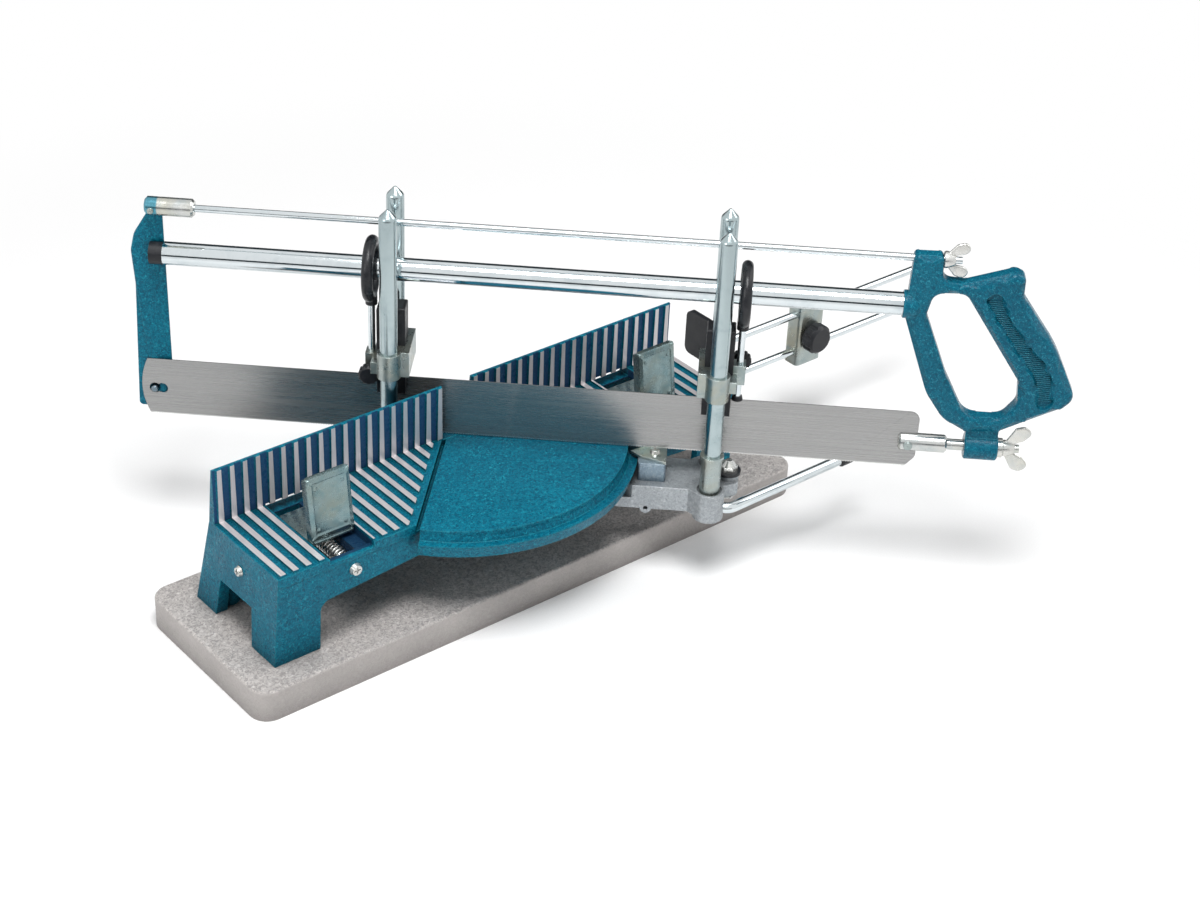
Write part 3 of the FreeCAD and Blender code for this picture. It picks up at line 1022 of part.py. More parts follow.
def build_handle():
    """Closed handle with its opening, tube boss, lower boss and bores."""
    def below(station, drop, bend):
        """Corner at a station and a drop below the tie rod, with the name of its bend."""
        return station, f"{TIE} - {drop}", bend
    outline = [
        below("handle_left + handle_cant", "(-handle_top)", "bend_fine"),
        below("handle_step", "(-handle_top)", "bend_fine"), below("handle_step", "saddle_drop", "bend_mid"),
        below("saddle_end", "saddle_drop", "bend_fine"), below("horn_station", "horn_drop", "bend_mid"),
        below("horn_back", "horn_back_drop", "bend_small"), below("horn_back", "horn_foot_drop", "bend_wide"),
        below("grip_mid", "grip_mid_drop", "bend_grip"), below("grip_end", "grip_end_drop", "bend_wide"),
        below("heel_station", "heel_drop", "bend_wide"), below("sole_back", "sole_back_drop", "bend_wide"),
        below("sole_station", "sole_drop", "bend_mid"), below("sole_front", "sole_drop", "bend_long"),
        below("bar_foot", "bar_foot_drop", "bend_back"), below("handle_left", "bar_top_drop", "bend_small")]
    body = prism("handle_blank", "XZ_Plane", [corner[:2] for corner in outline], "-handle_half", "handle_half")
    eased(body, [corner[2] for corner in outline])
    rounded(body, "handle_round", at_sides)
    opening = [
        below("eye_front", "eye_front_drop", "bend_wide"), below("eye_brow", "eye_brow_drop", "bend_mid"),
        below("eye_top", "eye_top_drop", "bend_mid"), below("eye_back", "eye_back_drop", "bend_mid"),
        below("eye_heel", "eye_heel_drop", "bend_wide"), below("eye_toe", "eye_heel_drop", "bend_wide"),
        below("eye_waist", "eye_waist_drop", "bend_grip")]
    eye = prism("handle_eye", "XZ_Plane", [corner[:2] for corner in opening], "-handle_half - 1",
                "handle_half + 1")
    eased(eye, [corner[2] for corner in opening])
    head = rod("tube_boss", "tube_boss_radius", "tube_boss_back - tube_boss_front", "tube_boss_front", "0",
               BOW, "x")
    boss = rod("handle_boss", "boss_radius", "boss_back - boss_front", "boss_front", "0", STUD, "x")
    web = block("handle_web", ("boss_front", "boss_back"), ("-handle_half", "handle_half"),
                (STUD, f"{TIE} - sole_drop + handle_round"))
    cuts = [rod("handle_tube_bore", "tube_radius + seated", "tube_back - tube_boss_front + 1",
                "tube_boss_front - 1", "0", BOW, "x"),
            rod("handle_tie_bore", "tie_radius + seated", "handle_step - handle_left + 2", "handle_left - 1", "0",
                TIE, "x"),
            rod("handle_stud_bore", "clevis_stud_radius + seated", "boss_back - boss_front + 2", "boss_front - 1",
                "0", STUD, "x")]
    grip = cut("handle_loop", body, [eye])
    node("handle", cut("handle_cut", fused("handle_solid", [grip, head, boss, web]), cuts), swung())


def build_wing_nut(name, station, level, bore, length, reach):
    """Wing nut about an axis along the saw, with a tapered hub and two flaring wings."""
    hub = taper(f"{name}_hub", "wing_hub", "wing_hub_tip", length, station, "0", level, "x")
    upper = [(f"{station} + wing_start", reach), (f"{station} + wing_flare", f"{reach} - wing_tab"),
             (f"{station} + {length}", "wing_root")]
    corners = [(f"{station} + 1", level)] + [(x, f"{level} + {z}") for x, z in upper]
    corners += [(x, f"{level} - ({z})") for x, z in upper[::-1]]
    wings = prism(f"{name}_wings", "XZ_Plane", corners, "-wing_thick / 2", "wing_thick / 2")
    eased(wings, [None, "wing_bend", "wing_bend", None, None, "wing_bend", "wing_bend"])
    hole = rod(f"{name}_bore", f"{bore} + running", f"{length} + 4", f"{station} - 2", "0", level, "x")
    node(name, cut(f"{name}_cut", fused(f"{name}_solid", [hub, wings]), [hole]), swung())


def build_fasteners():
    """Washer and wing nuts that tension the blade."""
    washer = rod("tension_washer_disc", "washer_radius", "washer_thick", "boss_back", "0", STUD, "x")
    hole = rod("tension_washer_hole", "clevis_stud_radius + seated", "washer_thick + 2", "boss_back - 1", "0",
               STUD, "x")
    node("tension_washer", cut("tension_washer_cut", washer, [hole]), swung())
    build_wing_nut("lower_wing_nut", "boss_back + washer_thick", STUD, "clevis_stud_radius", "lower_wing_length",
                   "lower_wing_reach")
    build_wing_nut("top_wing_nut", "handle_step", TIE, "tie_radius", "top_wing_length", "top_wing_reach")


def build_lever():
    """Bent lever that lifts the swing lock, and its black tip."""
    height = size("board_height") + size("casting_height") - size("lever_drop")
    side = -size("lever_half")
    turn = math.radians(90 - size("mitre_angle"))
    heading = FreeCAD.Vector(math.cos(turn), math.sin(turn), 0)
    start = FreeCAD.Vector(size("lever_start"), side, height)
    corner = FreeCAD.Vector(size("lever_corner"), side, height)
    setback = size("lever_bend") * math.tan(turn / 2)
    leave = corner.sub(FreeCAD.Vector(setback, 0, 0))
    arrive = corner.add(FreeCAD.Vector(heading).multiply(setback))
    end = corner.add(FreeCAD.Vector(heading).multiply(size("lever_length")))
    bend = arc_between(leave, FreeCAD.Vector(1, 0, 0), arrive).toShape()
    path = Part.Wire([Part.makeLine(start, leave), bend, Part.makeLine(arrive, end)])
    section = Part.Wire([Part.Circle(start, FreeCAD.Vector(1, 0, 0), size("lever_radius")).toShape()])
    lever = doc.addObject("Part::Feature", "lever_rod")
    lever.Shape = path.makePipeShell([section], True, False)
    node("lock_lever", lever, swung())
    tip = turned("lever_grip", [
        ("0", "0"), ("lever_radius + running", "0"), ("lever_tip_radius", "lever_tip_bevel"),
        ("lever_tip_radius", "lever_tip_length - lever_tip_bevel"),
        ("lever_tip_radius - lever_tip_bevel", "lever_tip_length"),
        ("0", "lever_tip_length")])
    hole = rod("lever_tip_hole", "lever_radius + seated", "lever_seat + 1", "0", "0", "-1")
    back = end.sub(FreeCAD.Vector(heading).multiply(size("lever_seat")))
    aim = FreeCAD.Rotation(FreeCAD.Vector(0, 0, 1), heading)
    node("lever_tip", cut("lever_tip_cut", tip, [hole]), swung().multiply(FreeCAD.Placement(back, aim)))


def write_parts():
    """Check every object and write each piece to its own file."""
    doc.recompute()
    for item in doc.Objects:
        bad = {"Invalid", "Error"} & set(item.State)
        if bad:
            raise RuntimeError(f"{item.Name} {item.Label}: {item.State}")
    os.makedirs("parts", exist_ok=True)
    for item in nodes:
        shape = item.Shape
        if shape.isNull() or not shape.isValid() or shape.Volume <= 0:
            raise RuntimeError(f"{item.Label} has no valid shape")
    for item in nodes:
        item.Shape.exportStep(f"parts/{item.Label}.step")
        print(item.Label, len(item.Shape.Solids), round(item.Shape.Volume, 1))


build_board()
build_leg_bolts()
build_casting()
build_axle()
build_guide_screws()
build_end_screw()
build_clamp("left", "-1")
build_clamp("right", "1")
build_length_stop()
build_arm()
build_posts()
build_end_bolt()
build_pointer()
build_station("rear", -size("rear_row"), 0,
              (f"{CARRIAGE} + rear_knob_rise - boss_half", f"{CARRIAGE} + rear_ear_start + boss_lap"))
build_station("front", size("front_row"), 180,
              (f"{CARRIAGE} + front_ear_start + ear_height - boss_lap",
               f"{CARRIAGE} + front_knob_rise + boss_half"))
build_tube()
build_saw_plate()
build_blade()
build_ties()
build_handle()
build_fasteners()
build_lever()
write_parts()
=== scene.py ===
"""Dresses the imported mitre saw: finishes, detailed pieces, studio and camera.

Sizes are in millimetres, and are turned into metres where a mesh or a node is made.
"""

import json
import logging
import math
from dataclasses import dataclass
from enum import Enum
from typing import Any, Callable, Sequence

import bmesh
import bpy
import numpy as np
from mathutils import Matrix, Vector
from mathutils.geometry import delaunay_2d_cdt

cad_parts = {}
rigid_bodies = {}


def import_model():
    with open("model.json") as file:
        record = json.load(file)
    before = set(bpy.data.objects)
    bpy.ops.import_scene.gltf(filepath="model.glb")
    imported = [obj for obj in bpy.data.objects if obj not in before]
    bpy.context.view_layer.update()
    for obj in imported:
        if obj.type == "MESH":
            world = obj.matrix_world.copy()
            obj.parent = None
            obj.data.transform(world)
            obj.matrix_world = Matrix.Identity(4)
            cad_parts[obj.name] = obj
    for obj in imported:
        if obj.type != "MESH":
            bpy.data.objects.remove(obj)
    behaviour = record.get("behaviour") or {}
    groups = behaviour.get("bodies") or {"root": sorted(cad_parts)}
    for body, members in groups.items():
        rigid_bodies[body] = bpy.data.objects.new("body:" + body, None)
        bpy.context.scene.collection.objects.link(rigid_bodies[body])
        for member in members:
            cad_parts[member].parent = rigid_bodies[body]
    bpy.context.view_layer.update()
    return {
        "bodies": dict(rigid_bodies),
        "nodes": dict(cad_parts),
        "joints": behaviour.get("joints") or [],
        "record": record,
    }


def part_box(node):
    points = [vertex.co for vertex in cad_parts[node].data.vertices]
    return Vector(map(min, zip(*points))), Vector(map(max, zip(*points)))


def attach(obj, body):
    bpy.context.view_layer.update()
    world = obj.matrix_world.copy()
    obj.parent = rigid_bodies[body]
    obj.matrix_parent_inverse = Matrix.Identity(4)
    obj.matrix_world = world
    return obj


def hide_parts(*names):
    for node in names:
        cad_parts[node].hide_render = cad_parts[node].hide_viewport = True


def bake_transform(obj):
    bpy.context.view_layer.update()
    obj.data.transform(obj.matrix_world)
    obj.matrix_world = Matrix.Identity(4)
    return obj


Pair = tuple[float, float]
Corner = tuple[float, float, float]
Place = tuple[float, float, float]
Colour = tuple[float, float, float]
Socket = bpy.types.NodeSocket

LOG = logging.getLogger("mitre_saw")
MM = 0.001
CREASE = 32.0
STRAIGHT = 179.5
SIDE_SHARE = 0.49
CLEARANCE = 0.93
SAME_PLACE = 0.002
TINY = 1e-12
UP = Vector((0.0, 0.0, 1.0))


class Slot(Enum):
    """Slots of the record for the new pieces."""

    CASTING = "blue_hammertone"
    CHROME = "chromed_steel"
    ZINC = "zinc"
    SPRING = "spring_steel"
    BLADE = "blade_steel"
    FRONT_PLATE = "blue_paint"
    HANDLE = "blue_plastic"


# ---------------------------------------------------------------- frame of the saw


@dataclass(frozen=True)
class SawFrame:
    """Frame of the swung saw, whose first axis runs towards the handle.

    Stations run along the saw, offsets towards the viewer's side, levels upwards.
    """

    angle: float = 46.86

    @property
    def along(self) -> Vector:
        """Unit vector towards the handle."""
        turn = math.radians(self.angle)
        return Vector((math.sin(turn), -math.cos(turn), 0.0))

    @property
    def near(self) -> Vector:
        """Unit vector towards the viewer's side of the blade."""
        turn = math.radians(self.angle)
        return Vector((-math.cos(turn), -math.sin(turn), 0.0))

    def point(self, station: float, offset: float, level: float) -> Vector:
        """Place a point given in millimetres.

        Args:
            station: Distance along the saw from the pivot.
            offset: Distance towards the viewer's side.
            level: Height above the bench.

        Returns:
            The point in metres.
        """
        flat = self.along * station + self.near * offset
        return (flat + UP * level) * MM

    def side(self, station: float = 0.0, offset: float = 0.0, level: float = 0.0) -> Matrix:
        """Matrix whose X runs along the saw, Y upwards and Z towards the viewer's side."""
        return self._matrix((self.along, UP, self.near), (station, offset, level))

    def shaft(self, station: float, level: float) -> Matrix:
        """Matrix whose Z runs along the saw in its middle plane, for turned pieces."""
        return self._matrix((UP, self.near, self.along), (station, 0.0, level))

    def _matrix(self, axes: tuple[Vector, Vector, Vector], place: Place) -> Matrix:
        """Matrix from three axes and a place in millimetres."""
        return Matrix.Translation(self.point(*place)) @ Matrix(axes).transposed().to_4x4()


SAW = SawFrame()


# ---------------------------------------------------------------- outlines


def eased(corners: Sequence[Corner], steps: int = 8) -> list[Pair]:
    """Round the corners of a closed outline.

    Args:
        corners: Each corner as x, y and the radius of its bend.
        steps: Spans of each bend.

    Returns:
        The points of the rounded outline.
    """
    points: list[Pair] = []
    for index, (x, y, radius) in enumerate(corners):
        here = Vector((x, y))
        before = Vector(corners[index - 1][:2]) - here
        after = Vector(corners[(index + 1) % len(corners)][:2]) - here
        spread = before.angle(after)
        if radius <= 0.0 or spread > math.radians(STRAIGHT):
            points.append((x, y))
            continue
        slope = math.tan(spread / 2)
        reach = min(radius / slope, before.length * SIDE_SHARE, after.length * SIDE_SHARE)
        halfway = (before.normalized() + after.normalized()).normalized()
        middle = here + halfway * math.hypot(reach, reach * slope)
        first = here + before.normalized() * reach - middle
        last = here + after.normalized() * reach - middle
        sweep = first.angle_signed(last)
        for step in range(steps + 1):
            turned = first.copy()
            turned.rotate(Matrix.Rotation(-sweep * step / steps, 2))
            points.append(tuple(middle + turned))
    return points


def board_shape(half: float, low: float, high: float, bends: Pair,
                narrow: float = 0.0) -> list[Pair]:
    """Even four-sided outline about the upright axis.

    Args:
        half: Half of its width.
        low: Its lower side.
        high: Its upper side.
        bends: Radii of the lower and of the upper corners.
        narrow: How much the upper corners move inwards.

    Returns:
        The points of the outline.
    """
    return eased([(-half, low, bends[0]), (half, low, bends[0]),
                  (half - narrow, high, bends[1]), (-half + narrow, high, bends[1])])


def arc(x: float, y: float, radius: float, span: Pair, steps: int) -> list[Pair]:
    """Points of an arc, ends included.

    Args:
        x: Centre.
        y: Centre.
        radius: Radius of the arc.
        span: First and last angle in radians.
        steps: Spans between them.

    Returns:
        The points.
    """
    angles = [span[0] + (span[1] - span[0]) * step / steps for step in range(steps + 1)]
    return [(x + radius * math.cos(turn), y + radius * math.sin(turn)) for turn in angles]


def ring(x: float, y: float, radius: float, steps: int = 24) -> list[Pair]:
    """Points of a circle."""
    return arc(x, y, radius, (0.0, math.tau), steps)[:-1]


def smoothed(share: np.ndarray) -> np.ndarray:
    """Shares from 0 to 1 with level ends."""
    return share * share * (3.0 - 2.0 * share)


def apart(points: np.ndarray, loops: Sequence[Sequence[Pair]]) -> np.ndarray:
    """Distance from each point to the nearest of several closed outlines.

    Args:
        points: Rows of x and y.
        loops: Closed outlines.

    Returns:
        One distance for each point.
    """
    nearest = np.full(len(points), np.inf)
    for loop in loops:
        first = np.asarray(loop, dtype=float)
        step = np.roll(first, -1, axis=0) - first
        length = np.maximum((step ** 2).sum(axis=1), TINY)
        gap = points[:, None, :] - first[None, :, :]
        share = np.clip((gap * step[None]).sum(axis=2) / length[None], 0.0, 1.0)
        reach = gap - share[..., None] * step[None]
        nearest = np.minimum(nearest, np.sqrt((reach ** 2).sum(axis=2)).min(axis=1))
    return nearest


def within(points: np.ndarray, loops: Sequence[Sequence[Pair]]) -> np.ndarray:
    """Whether each point lies inside an odd number of closed outlines.

    Args:
        points: Rows of x and y.
        loops: Closed outlines.

    Returns:
        One answer for each point.
    """
    inside = np.zeros(len(points), dtype=bool)
    x, y = points[:, 0][:, None], points[:, 1][:, None]
    for loop in loops:
        first = np.asarray(loop, dtype=float)
        second = np.roll(first, -1, axis=0)
        rise = second[:, 1] - first[:, 1]
        rise = np.where(np.abs(rise) < TINY, TINY, rise)
        cross = first[:, 0] + (y - first[:, 1]) / rise * (second[:, 0] - first[:, 0])
        passed = ((first[:, 1] > y) != (second[:, 1] > y)) & (x < cross)
        inside ^= (passed.sum(axis=1) % 2).astype(bool)
    return inside


def inset(loop: Sequence[Pair], depth: float, loops: Sequence[Sequence[Pair]]) -> list[Pair]:
    """Points at a depth inside an outline, without those too near another part of it.

    Args:
        loop: Outline that the points follow.
        depth: Distance from it.
        loops: Every outline of the piece.

    Returns:
        The points that are left.
    """
    edge = np.asarray(loop, dtype=float)
    side = np.roll(edge, -1, axis=0) - np.roll(edge, 1, axis=0)
    side /= np.maximum(np.linalg.norm(side, axis=1, keepdims=True), 1e-9)
    square = np.stack([-side[:, 1], side[:, 0]], axis=1)
    found: list[Pair] = []
    for sign in (1.0, -1.0):
        moved = edge + square * depth * sign
        good = within(moved, loops) & (apart(moved, loops) > depth * CLEARANCE)
        found += [(float(x), float(y)) for x, y in moved[good]]
    return found


def lattice(loops: Sequence[Sequence[Pair]], margin: float, pitch: float = 3.2) -> list[Pair]:
    """Even points inside closed outlines, kept clear of their edges.

    Args:
        loops: Closed outlines, the outer one first.
        margin: Least distance from an edge.
        pitch: Distance between neighbours.

    Returns:
        The points.
    """
    low, high = np.min(loops[0], axis=0), np.max(loops[0], axis=0)
    across, up = np.meshgrid(*(np.arange(low[axis], high[axis], pitch) for axis in (0, 1)))
    spots = np.stack([across.ravel(), up.ravel()], axis=1)
    good = within(spots, loops) & (apart(spots, loops) > margin)
    return [(float(x), float(y)) for x, y in spots[good]]


# ---------------------------------------------------------------- meshes


def keep(name: str, mesh: bpy.types.Mesh, place: Matrix) -> bpy.types.Object:
    """Link a finished mesh to the scene, smooth apart from its creases.

    Args:
        name: Name of the piece.
        mesh: Mesh in its own frame, in metres.
        place: Where the frame stands.

    Returns:
        The new object.
    """
    mesh.transform(place)
    mesh.polygons.foreach_set("use_smooth", [True] * len(mesh.polygons))
    mesh.set_sharp_from_angle(angle=math.radians(CREASE))
    item = bpy.data.objects.new(name, mesh)
    bpy.context.scene.collection.objects.link(item)
    return item


def poured(name: str, build: bmesh.types.BMesh, place: Matrix) -> bpy.types.Object:
    """Turn a finished build into a piece.

    Args:
        name: Name of the piece.
        build: Faces in their own frame, which are freed.
        place: Where the frame stands.

    Returns:
        The new object.
    """
    mesh = bpy.data.meshes.new(name)
    build.to_mesh(mesh)
    build.free()
    return keep(name, mesh, place)


@dataclass(frozen=True)
class Sunk:
    """Panel let into both faces of a slab."""

    outline: tuple[Pair, ...]
    depth: float
    wall: float

    def guides(self) -> list[Pair]:
        """Points round the panel's wall."""
        rows = [inset(self.outline, self.wall * share, [self.outline]) for share in (0.5, 1.0)]
        return [*self.outline, *rows[0], *rows[1]]

    def drop(self, points: np.ndarray) -> np.ndarray:
        """How far the face drops at each point."""
        share = np.clip(apart(points, [self.outline]) / self.wall, 0.0, 1.0)
        return np.where(within(points, [self.outline]), smoothed(share) * self.depth, 0.0)


def plate(name: str, outlines: Sequence[Sequence[Pair]], thick: float, soft: float,
          place: Matrix, spans: int = 3, swell: Callable[[np.ndarray], np.ndarray] | None = None,
          sunk: Sunk | None = None) -> bpy.types.Object:
    """Slab with rounded rims, cut from an outer outline and any holes.

    Args:
        name: Name of the piece.
        outlines: Outer outline first, then the holes.
        thick: Thickness.
        soft: Radius of the rims.
        place: Frame whose XY plane is the middle of the piece.
        spans: Rows of faces round each rim.
        swell: Extra half thickness at given points.
        sunk: Panel let into both faces.

    Returns:
        The new object.
    """
    soft = min(soft, thick / 2)
    points: list[Pair] = []
    edges: list[tuple[int, int]] = []
    for outline in outlines:
        base, count = len(points), len(outline)
        points += outline
        edges += [(base + i, base + (i + 1) % count) for i in range(count)]
    for row in range(1, spans + 1):
        depth = soft * (1.0 - math.cos(math.pi / 2 * row / spans))
        for outline in outlines:
            points += inset(outline, depth, outlines)
    if sunk is not None:
        points += sunk.guides()
    if swell is not None:
        points += lattice(outlines, soft * 1.05)
    flat, _, faces, _, _, _ = delaunay_2d_cdt([Vector(p) for p in points], edges, [], 0, 1e-4)
    spots = np.array([(point.x, point.y) for point in flat])
    centres = np.array([spots[list(face)].mean(axis=0) for face in faces])
    solid = [face for face, kept in zip(faces, within(centres, outlines)) if kept]
    span = np.clip(apart(spots, outlines), 0.0, soft)
    height = thick / 2 - soft + np.sqrt(np.maximum(soft ** 2 - (soft - span) ** 2, 0.0))
    if swell is not None:
        height = height + swell(spots) * span / soft
    if sunk is not None:
        height = height - sunk.drop(spots)
    return poured(name, slab(spots, height, solid), place)


def slab(spots: np.ndarray, height: np.ndarray, solid: Sequence[Sequence[int]]
         ) -> bmesh.types.BMesh:
    """Two like faces and the narrow band that closes them.

    Args:
        spots: Rows of x and y.
        height: Half thickness at each row.
        solid: Rows that each face of the slab joins.

    Returns:
        The closed build.
    """
    build = bmesh.new()
    rows = [(x * MM, y * MM, h * MM) for (x, y), h in zip(spots, height)]
    upper = [build.verts.new(row) for row in rows]
    lower = [build.verts.new((x, y, -h)) for x, y, h in rows]
    sides: dict[tuple[int, int], int] = {}
    for face in solid:
        build.faces.new([upper[i] for i in face])
        build.faces.new([lower[i] for i in reversed(face)])
        for first, second in zip(face, face[1:] + face[:1]):
            key = (min(first, second), max(first, second))
            sides[key] = sides.get(key, 0) + 1
    for (first, second), uses in sides.items():
        if uses == 1:
            build.faces.new((upper[first], upper[second], lower[second], lower[first]))
    loose = [vert for vert in build.verts if not vert.link_faces]
    bmesh.ops.delete(build, geom=loose, context="VERTS")
    bmesh.ops.remove_doubles(build, verts=build.verts, dist=SAME_PLACE * MM)
    bmesh.ops.recalc_face_normals(build, faces=build.faces)
    return build


def lathe(name: str, profile: Sequence[Pair], place: Matrix, steps: int = 64) -> bpy.types.Object:
    """Turned piece about the frame's Z.

    Args:
        name: Name of the piece.
        profile: Heights and radii, from one end to the other.
        place: Frame of the axis.
        steps: Spans round the axis.

    Returns:
        The new object.
    """
    build = bmesh.new()
    rows = []
    for height, radius in profile:
        spots = ring(0.0, 0.0, radius, steps) if radius > 0.0 else [(0.0, 0.0)]
        rows.append([build.verts.new((x * MM, y * MM, height * MM)) for x, y in spots])
    for low, high in zip(rows, rows[1:]):
        for index in range(steps):
            after = (index + 1) % steps
            corners = [low[index % len(low)], low[after % len(low)],
                       high[after % len(high)], high[index % len(high)]]
            face = list(dict.fromkeys(corners))
            if len(face) > 2:
                build.faces.new(face)
    bmesh.ops.recalc_face_normals(build, faces=build.faces)
    return poured(name, build, place)


def joined(name: str, items: Sequence[bpy.types.Object]) -> bpy.types.Object:
    """Gather several objects into one.

    Args:
        name: Name of the piece that is left.
        items: Objects to gather, which are removed.

    Returns:
        The new object.
    """
    build = bmesh.new()
    for item in items:
        build.from_mesh(item.data)
    piece = poured(name, build, Matrix.Identity(4))
    for item in items:
        bpy.data.objects.remove(item)
    return piece


# ---------------------------------------------------------------- material graph


class Graph:
    """Nodes of one material or world, with short calls for those that the finishes share."""

    def __init__(self, owner: bpy.types.Material | bpy.types.World) -> None:
        """Clear the owner's nodes.

        Args:
            owner: Material or world that the nodes go into.
        """
        owner.use_nodes = True
        self.owner = owner
        self.tree = owner.node_tree
        self.tree.nodes.clear()

    def add(self, kind: str, sockets: dict[Any, Any] | None = None,
            **settings: Any) -> bpy.types.Node:
        """Add a node.

        Args:
            kind: Blender's name of the node type.
            sockets: Values or output sockets, keyed by input name or index.
            settings: Properties of the node.

        Returns:
            The new node.
        """
        item = self.tree.nodes.new(kind)
        for key, value in settings.items():
            setattr(item, key, value)
        for key, value in (sockets or {}).items():
            if isinstance(value, Socket):
                self.tree.links.new(value, item.inputs[key])
            else:
                item.inputs[key].default_value = value
        return item

    def math(self, action: str, first: Any, second: Any = 0.0) -> Socket:
        """Result of one sum."""
        return self.add("ShaderNodeMath", {0: first, 1: second}, operation=action).outputs[0]

    def product(self, *factors: Any) -> Socket:
        """Several values multiplied together.

        Args:
            factors: Numbers or sockets, the first of them a socket.

        Returns:
            Their product.
        """
        result = factors[0]
        for factor in factors[1:]:
            result = self.math("MULTIPLY", result, factor)
        return result

    def close_to(self, value: Socket, target: float, margin: float) -> Socket:
        """Whether a value lies within a margin of a target: 1 or 0."""
        return self.add("ShaderNodeMath", {0: value, 1: target, 2: margin},
                        operation="COMPARE").outputs[0]

    def measure(self, action: str, first: Socket, second: Any = (0.0, 0.0, 0.0)) -> Socket:
        """Number that comes of one or two vectors."""
        return self.add("ShaderNodeVectorMath", {0: first, 1: second},
                        operation=action).outputs["Value"]

    def place(self) -> Socket:
        """Position on the piece in metres."""
        return self.add("ShaderNodeTexCoord").outputs["Object"]

    def facing(self) -> list[Socket]:
        """X, Y and Z of the direction that the face looks in."""
        normal = self.add("ShaderNodeTexCoord").outputs["Normal"]
        return list(self.add("ShaderNodeSeparateXYZ", {0: normal}).outputs)

    def stretched(self, scale: Sequence[float], turn: float = 0.0) -> Socket:
        """Position scaled by axis after a turn about Z."""
        turned = self.add("ShaderNodeMapping", {0: self.place(), 2: (0, 0, turn)}).outputs[0]
        return self.add("ShaderNodeMapping", {0: turned, 3: tuple(scale)}).outputs[0]

    def noise(self, scale: float, detail: float = 3.0, rough: float = 0.5, warp: float = 0.0,
              vector: Socket | None = None) -> Socket:
        """Cloudy value from 0 to 1.

        Args:
            scale: Clouds to a metre.
            detail: Levels of finer clouds.
            rough: How strong each finer level is.
            warp: How far the clouds are bent.
            vector: Place that is read, else the one on the piece.

        Returns:
            The value.
        """
        where = vector if vector is not None else self.place()
        sockets = {"Vector": where, "Scale": scale, "Detail": detail, "Roughness": rough,
                   "Distortion": warp}
        return self.add("ShaderNodeTexNoise", sockets).outputs[0]

    def span(self, value: Socket, low: float, high: float, start: float = 0.0,
             end: float = 1.0) -> Socket:
        """Value mapped smoothly from one span to another, and kept within it."""
        return self.add("ShaderNodeMapRange", {0: value, 1: low, 2: high, 3: start, 4: end},
                        interpolation_type="SMOOTHSTEP").outputs[0]

    def tint(self, share: Any, first: Any, second: Any) -> Socket:
        """Blend of two colours.

        Args:
            share: Share of the second colour.
            first: Colour or socket.
            second: Colour or socket.

        Returns:
            The blended colour.
        """
        pair = [value if isinstance(value, Socket) else (*value, 1.0)
                for value in (first, second)]
        return self.add("ShaderNodeMix", {0: share, 6: pair[0], 7: pair[1]},
                        data_type="RGBA").outputs[2]

    def turned(self, share: Any, first: Any, second: Any) -> Socket:
        """Blend of two directions or places."""
        return self.add("ShaderNodeMix", {0: share, 4: first, 5: second},
                        data_type="VECTOR").outputs[1]

    def relief(self, height: Socket, depth: float, strength: float = 1.0,
               under: Socket | None = None) -> Socket:
        """Normal bent by a height.

        Args:
            height: Height from 0 to 1.
            depth: What a height of 1 is in metres.
            strength: Share of the bending.
            under: Normal that is bent, else the face's own.

        Returns:
            The bent normal.
        """
        sockets: dict[Any, Any] = {"Height": height, "Distance": depth, "Strength": strength}
        if under is not None:
            sockets["Normal"] = under
        return self.add("ShaderNodeBump", sockets).outputs[0]

    def soft_edges(self, radius: float) -> Socket:
        """Normal that turns smoothly round sharp edges."""
        return self.add("ShaderNodeBevel", {"Radius": radius}, samples=4).outputs[0]

    def rims(self, normal: Socket, most: float) -> Socket:
        """How much of an edge a place is.

        Args:
            normal: Normal that is rounded at the edges.
            most: Value on the very edges.

        Returns:
            Share from 0 on flat faces to the most.
        """
        flat = self.add("ShaderNodeNewGeometry").outputs["Normal"]
        return self.product(self.span(self.measure("DOT_PRODUCT", normal, flat), 0.995, 0.86),
                            most)

    def backdrop_seen(self) -> Socket:
        """Which rays see the plain backdrop.

        Returns:
            1 for rays of the camera, of reflections and of clear things, else 0.
        """
        path = self.add("ShaderNodeLightPath").outputs
        seen = self.math("MAXIMUM", path["Is Camera Ray"], path["Is Glossy Ray"])
        return self.math("MAXIMUM", seen, path["Is Transmission Ray"])

    def show(self, shader: Socket, output: str = "ShaderNodeOutputMaterial") -> Any:
        """Send a shader to the output and give back what it belongs to."""
        self.add(output, {0: shader})
        return self.owner

    def close(self, sockets: dict[str, Any]) -> bpy.types.Material:
        """Show a surface shader with these inputs."""
        return self.show(self.add("ShaderNodeBsdfPrincipled", sockets).outputs[0])


def paint_pot(name: str) -> Graph:
    """Empty material."""
    return Graph(bpy.data.materials.new(name))


# ---------------------------------------------------------------- finishes


